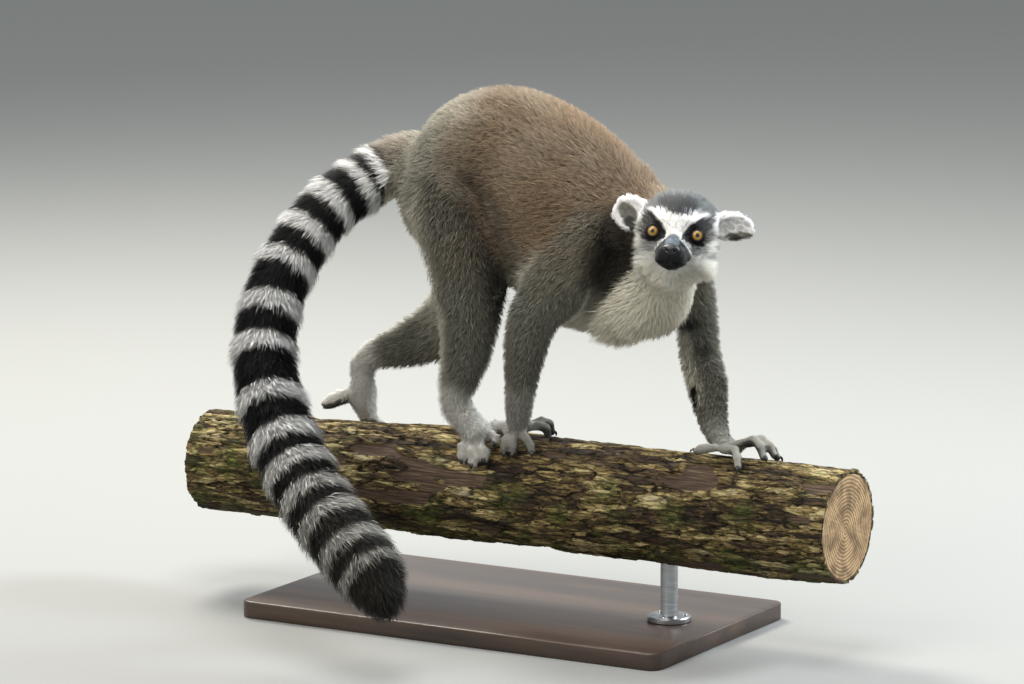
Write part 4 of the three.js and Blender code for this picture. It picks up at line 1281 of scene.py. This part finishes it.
skin.data.calc_loop_triangles()
triangles = np.empty(len(skin.data.loop_triangles) * 3, np.int32)
skin.data.loop_triangles.foreach_get("vertices", triangles)
triangles = triangles.reshape(-1, 3)
hide_normals = get_normals(skin.data)
corners = points[triangles]
areas = np.linalg.norm(np.cross(corners[:, 1] - corners[:, 0], corners[:, 2] - corners[:, 0]), axis=1) / 2
triangle_owner = owner[triangles[:, 0]]
triangle_middle = corners.mean(axis=1)
triangle_head = from_head(triangle_middle)
triangle_arc = arc[triangles[:, 0]]


def lid_share(places):
    """How near places are to the eyes: under 1 is inside a lid's edge."""
    least = np.full(len(places), 9.0)
    for middle, look, _, _ in gaze.values():
        ray = places - middle
        away = np.linalg.norm(ray, axis=1)
        tilt = np.degrees(np.arccos(np.clip(ray @ look / away, -1, 1)))
        least = np.where(away < 12, np.minimum(least, tilt / LID_WIDE), least)
    return least


def unit(vectors):
    return vectors / (np.linalg.norm(vectors, axis=1)[:, None] + 1e-9)


def pick_roots(where, count):
    """Places spread evenly over the chosen triangles of the hide, and the way the hide faces at each."""
    weight = np.cumsum(np.where(where, areas, 0))
    spaced = (np.arange(count) + chance.random(count)) / count
    pick = np.searchsorted(weight, spaced * weight[-1]).clip(0, len(areas) - 1)
    u, v = chance.random((2, count))
    beyond = u + v > 1
    u[beyond], v[beyond] = 1 - u[beyond], 1 - v[beyond]
    share = np.stack([1 - u - v, u, v], axis=1)[:, :, None]
    root = (points[triangles[pick]] * share).sum(axis=1)
    return root, unit((hide_normals[triangles[pick]] * share).sum(axis=1))


def combed(root, normal, own_line, lie):
    """The way each lock lies: along its line, out from an ear's middle, and with a slow swirl."""
    for ear_side, ear in EARS.items():
        _, _, broad, ear_root = ear_frame(ear)
        mine = belongs(own_line, f"ear_{ear_side}")
        off = (from_head(root) - ear_root) @ broad / 13
        lie = np.where(mine[:, None], lie + 0.8 * off[:, None] * (broad @ HEAD_AXES), lie)
    lie = unit(lie - normal * np.sum(lie * normal, axis=1)[:, None])
    woolly = belongs(own_line, "trunk", "arm", "leg", "neck")
    swirl = 0.4 * noise(root / 26, 91) + np.where(woolly, 0.3, 0.16) * chance.standard_normal(len(root))
    return unit(lie * np.cos(swirl)[:, None] + np.cross(normal, lie) * np.sin(swirl)[:, None])


def lock_sizes(root, normal, own_line, sizes, levels):
    """Each lock's length and how far it stands up: more in the ruff, behind the thigh, on the crown and
    on the toes, and less on trunk and limbs."""
    in_head = from_head(root)
    ruff = step(20, 28, np.abs(in_head[:, 1])) * (1 - step(0, 10, in_head[:, 2]))
    ruff *= belongs(own_line, "head", "throat")
    crown = belongs(own_line, "head") * step(6, 24, in_head[:, 2]) * step(-5, -20, in_head[:, 0])
    haunch = belongs(own_line, "leg_right", "trunk") * step(0.3, 0.8, -normal[:, 0])
    haunch *= root[:, 2] < AXIS_HEIGHT + 285
    toes = belongs(own_line, "foot")
    short = np.select([belongs(own_line, "trunk"), belongs(own_line, "arm", "leg")], [0.64, 0.74], 1)
    length = sizes[:, 2] * short * (1 + 0.5 * ruff) * chance.uniform(0.7, 1.12, len(root))
    length *= 0.85 if levels == 2 else 0.8
    length = length * (1 + 0.4 * haunch + 0.5 * toes) + 2 * crown
    rise = sizes[:, 1] * (1 + 0.6 * ruff + 0.7 * haunch + 0.3 * toes) + 1.8 * crown
    return length, np.minimum(rise * chance.uniform(0.78, 1.2, len(root)), 0.8 * length)


def lock_faces(levels, count):
    """The triangles of `count` locks, each with rings of three corners that end in a tip."""
    per = 3 * levels + 1
    faces = []
    for level in range(levels):
        for j in range(3):
            here, beside = level * 3 + j, level * 3 + (j + 1) % 3
            if level == levels - 1:
                faces.append((here, beside, per - 1))
            else:
                faces += [(here, beside, beside + 3), (here, beside + 3, here + 3)]
    return (np.array(faces)[None] + np.arange(count)[:, None, None] * per).reshape(-1, 3)


def lock_patches(root, own_line, levels):
    """The places of each lock's corners in the flat layout, in a patch round its root."""
    place = np.zeros((len(root), 2))
    for index in np.unique(own_line):
        mine = own_line == index
        _, arc_here, turn_here, _, _ = on_line(index, root[mine])
        place[mine] = flat_place(index, arc_here, turn_here)
    local = [((j - 1) * 0.5, level / levels - 0.5) for level in range(levels) for j in range(3)]
    return place[:, None] + np.array(local + [(0, 0.5)])[None] * LOCK_PATCH


def grow_locks(where, count, width, levels):
    """Grows `count` locks over the chosen triangles of the hide. Gives their corners, faces, shading
    directions, shades and places in the flat layout."""
    root, normal = pick_roots(where, count)
    own_line, arc_at, lie, sizes = read_body(root)
    lie = combed(root, normal, own_line, lie)
    length, rise = lock_sizes(root, normal, own_line, sizes, levels)
    lean, _, _ = nearest_seed((root + lie * length[:, None] * 0.8) / CLUMP, 131)
    lean = lean * CLUMP * 0.4
    lean -= normal * np.sum(lean * normal, axis=1)[:, None]
    side = np.cross(normal, lie)
    base = markings(root + lie * (1.2 * chance.standard_normal(count))[:, None], normal, own_line, arc_at)
    bright = base.mean(axis=1)
    rise *= np.where(belongs(own_line, "tail"), 0.9 + 0.3 * np.minimum(bright, 1), 1)
    # Locks of one colour differ a little, most in the mid greys, and each is darker at its root.
    uneven = np.interp(bright, [0.01, 0.1, 0.3, 0.7], [0.2, 0.36, 0.3, 0.06]) * (0.6 if levels == 2 else 1)
    base = base * np.exp(chance.standard_normal(count) * uneven)[:, None]
    depth = 0.68 + 0.24 * np.minimum(bright, 1)
    rings, tones, facings = [], [], []
    for level in range(levels + 1):
        t = level / levels
        middle = (root + lie * (length * t * (1 - 0.1 * t))[:, None] - normal * 0.5 + lean * t * t
                  + normal * ((rise + 0.5) * math.sin(math.pi / 2 * t ** 0.9))[:, None])
        tone = np.clip(base * (depth + (1.16 - depth) * t)[:, None], 0.001, 0.95)
        if level == levels:
            rings.append(middle[:, None])
            tones.append(tone[:, None])
            facings.append(unit(normal + 0.4 * lie)[:, None])
            continue
        half = width / 2 * [0.85, 1.0, 0.75][min(level, 2)] * chance.uniform(0.75, 1.3, count)
        angles = np.radians([330, 90, 210])
        spread = (np.cos(angles)[None, :, None] * side[:, None]
                  + 0.55 * np.sin(angles)[None, :, None] * normal[:, None])
        rings.append(middle[:, None] + half[:, None, None] * spread)
        facing = normal[:, None] + 0.55 * spread + 0.25 * lie[:, None]
        facings.append(facing / np.linalg.norm(facing, axis=2)[:, :, None])
        tones.append(np.repeat(tone[:, None], 3, axis=1))
    flat = lock_patches(root, own_line, levels)
    corners, facing, tones = (np.concatenate(part, axis=1).reshape(-1, 3) for part in (rings, facings, tones))
    return corners, lock_faces(levels, count), facing, tones, flat.reshape(-1, 2)


def grow_coat(name, where, locks, hairs, width, slot):
    """One coat piece: `locks` curved locks, with `hairs` finer straight ones among them."""
    batches = []
    if locks:
        batches.append(grow_locks(where, locks, width, 2))
    batches.append(grow_locks(where, hairs, width * 0.6, 1))
    vertices, facings, shades, flat = (np.concatenate([batch[k] for batch in batches]) for k in (0, 2, 3, 4))
    offsets = np.cumsum([0] + [len(batch[0]) for batch in batches])
    faces = np.concatenate([batch[1] + offset for batch, offset in zip(batches, offsets)])
    mesh = bpy.data.meshes.new(name)
    mesh.vertices.add(len(vertices))
    mesh.vertices.foreach_set("co", (vertices * MM).astype(np.float32).ravel())
    mesh.loops.add(faces.size)
    mesh.loops.foreach_set("vertex_index", faces.astype(np.int32).ravel())
    mesh.polygons.add(len(faces))
    mesh.polygons.foreach_set("loop_start", np.arange(0, faces.size, 3, dtype=np.int32))
    mesh.polygons.foreach_set("use_smooth", np.ones(len(faces), bool))
    mesh.update(calc_edges=True)
    mesh.uv_layers.new(name="OFBake").data.foreach_set("uv", flat[faces.ravel()].astype(np.float32).ravel())
    mesh.normals_split_custom_set_from_vertices(facings.astype(np.float32))
    set_attribute(mesh, "coat_colour", "FLOAT_COLOR", np.column_stack([shades, np.ones(len(shades))]))
    mesh.materials.append(guard)
    coat = bpy.data.objects.new(name, mesh)
    bpy.context.scene.collection.objects.link(coat)
    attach(coat, "root")
    return coat


def over(*starts):
    return belongs(triangle_owner, *starts)


x_mid = triangle_middle[:, 0]
forward, aside, _ = triangle_head.T
eye_clear = (lid_share(triangle_middle) > 1.22) | (forward < -8)
nose_clear = np.linalg.norm((triangle_head - NOSE_MIDDLE) / [6.4, 8, 5.8], axis=1) > 1
front_of_face = (forward > -20) & (np.abs(aside) < 36)
# (name, where on the hide, curved locks, finer hairs between them, width of a lock in mm, slot)
COATS = [
    ("coat_rump", over("trunk") & (x_mid < -20), 1500, 41500, 1.15, "coat_grey"),
    ("coat_back", over("trunk") & (x_mid >= -20) & (x_mid < 50), 1500, 45000, 1.15, "coat_brown"),
    ("coat_shoulders", over("trunk") & (x_mid >= 50), 1500, 43000, 1.15, "coat_brown"),
    ("coat_neck", over("neck", "throat"), 3000, 23000, 1.0, "coat_white"),
    ("coat_head", over("head") & ~front_of_face, 1500, 30000, 0.9, "coat_grey"),
    ("coat_face", over("head") & front_of_face & eye_clear & nose_clear, 0, 38000, 0.8, "coat_grey"),
    ("coat_ears", over("ear"), 0, 23000, 0.95, "coat_white"),
    ("coat_arm_right", over("arm_right"), 1500, 21500, 1.05, "coat_grey"),
    ("coat_arm_left", over("arm_left"), 1500, 19500, 1.05, "coat_grey"),
    ("coat_leg_right", over("leg_right"), 1500, 27000, 1.05, "coat_grey"),
    ("coat_leg_left", over("leg_left"), 1500, 20500, 1.05, "coat_grey"),
    ("coat_hands", over("hand"), 0, 9000, 0.8, "coat_white"),
    ("coat_feet", over("foot"), 0, 14000, 0.95, "coat_white"),
    ("coat_tail_upper", over("tail") & (triangle_arc < 270), 2000, 40000, 1.1, "coat_ringed"),
    ("coat_tail_lower", over("tail") & (triangle_arc >= 270), 2000, 39000, 1.2, "coat_ringed"),
]
for entry in COATS:
    grow_coat(*entry)

# ---- Nails ----
# A short curved nail of dark horn on the end of each finger and toe, longer and upright on the second toe.
horn, surface = new_material("dark horn")
set_surface(surface, "#1d1a18", 0.38)
bump(horn, surface, cloud(horn, object_place(horn), 900, 3), 0.2, 0.0002)
for set_name in DIGITS:
    bpy.ops.object.select_all(action="DESELECT")
    bpy.ops.mesh.primitive_uv_sphere_add(segments=20, ring_count=14, radius=1)
    nails = bpy.context.object
    nails.name = f"nails_{set_name}"
    one = get_points(nails.data)
    one_faces = [tuple(face.vertices) for face in nails.data.polygons]
    shapes = []
    for k in range(5):
        row_places = lines[LINE_NAMES.index(f"{set_name}_{k}")]["places"]
        tip, run = row_places[-1], row_places[-1] - row_places[-2]
        run /= np.linalg.norm(run)
        out = tip - [tip[0], 0, AXIS_HEIGHT]
        out -= run * out.dot(run)
        out /= np.linalg.norm(out)
        grooming = set_name.startswith("foot") and k == 1
        long, wide = (4.6, 1.5) if grooming else (3.1, 2.2)
        ahead, aside, up = one[:, 0:1], one[:, 1:2], one[:, 2:3]
        bent = ahead * long * run + (0.9 * up - 1.1 * ahead ** 2) * out
        bent = bent + aside * wide * (1 - 0.3 * ahead) * np.cross(out, run)
        lift = 4.3 if set_name.startswith("foot") else 3.6
        shapes.append(tip + run * 1.8 + out * lift + bent)
    nails.data.clear_geometry()
    nails.data.from_pydata((np.concatenate(shapes) * MM).tolist(), [], [
        tuple(i + k * len(one) for i in face) for k in range(5) for face in one_faces])
    nails.data.update()
    bpy.ops.object.shade_smooth()
    nails.data.materials.append(horn)
    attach(nails, "root")
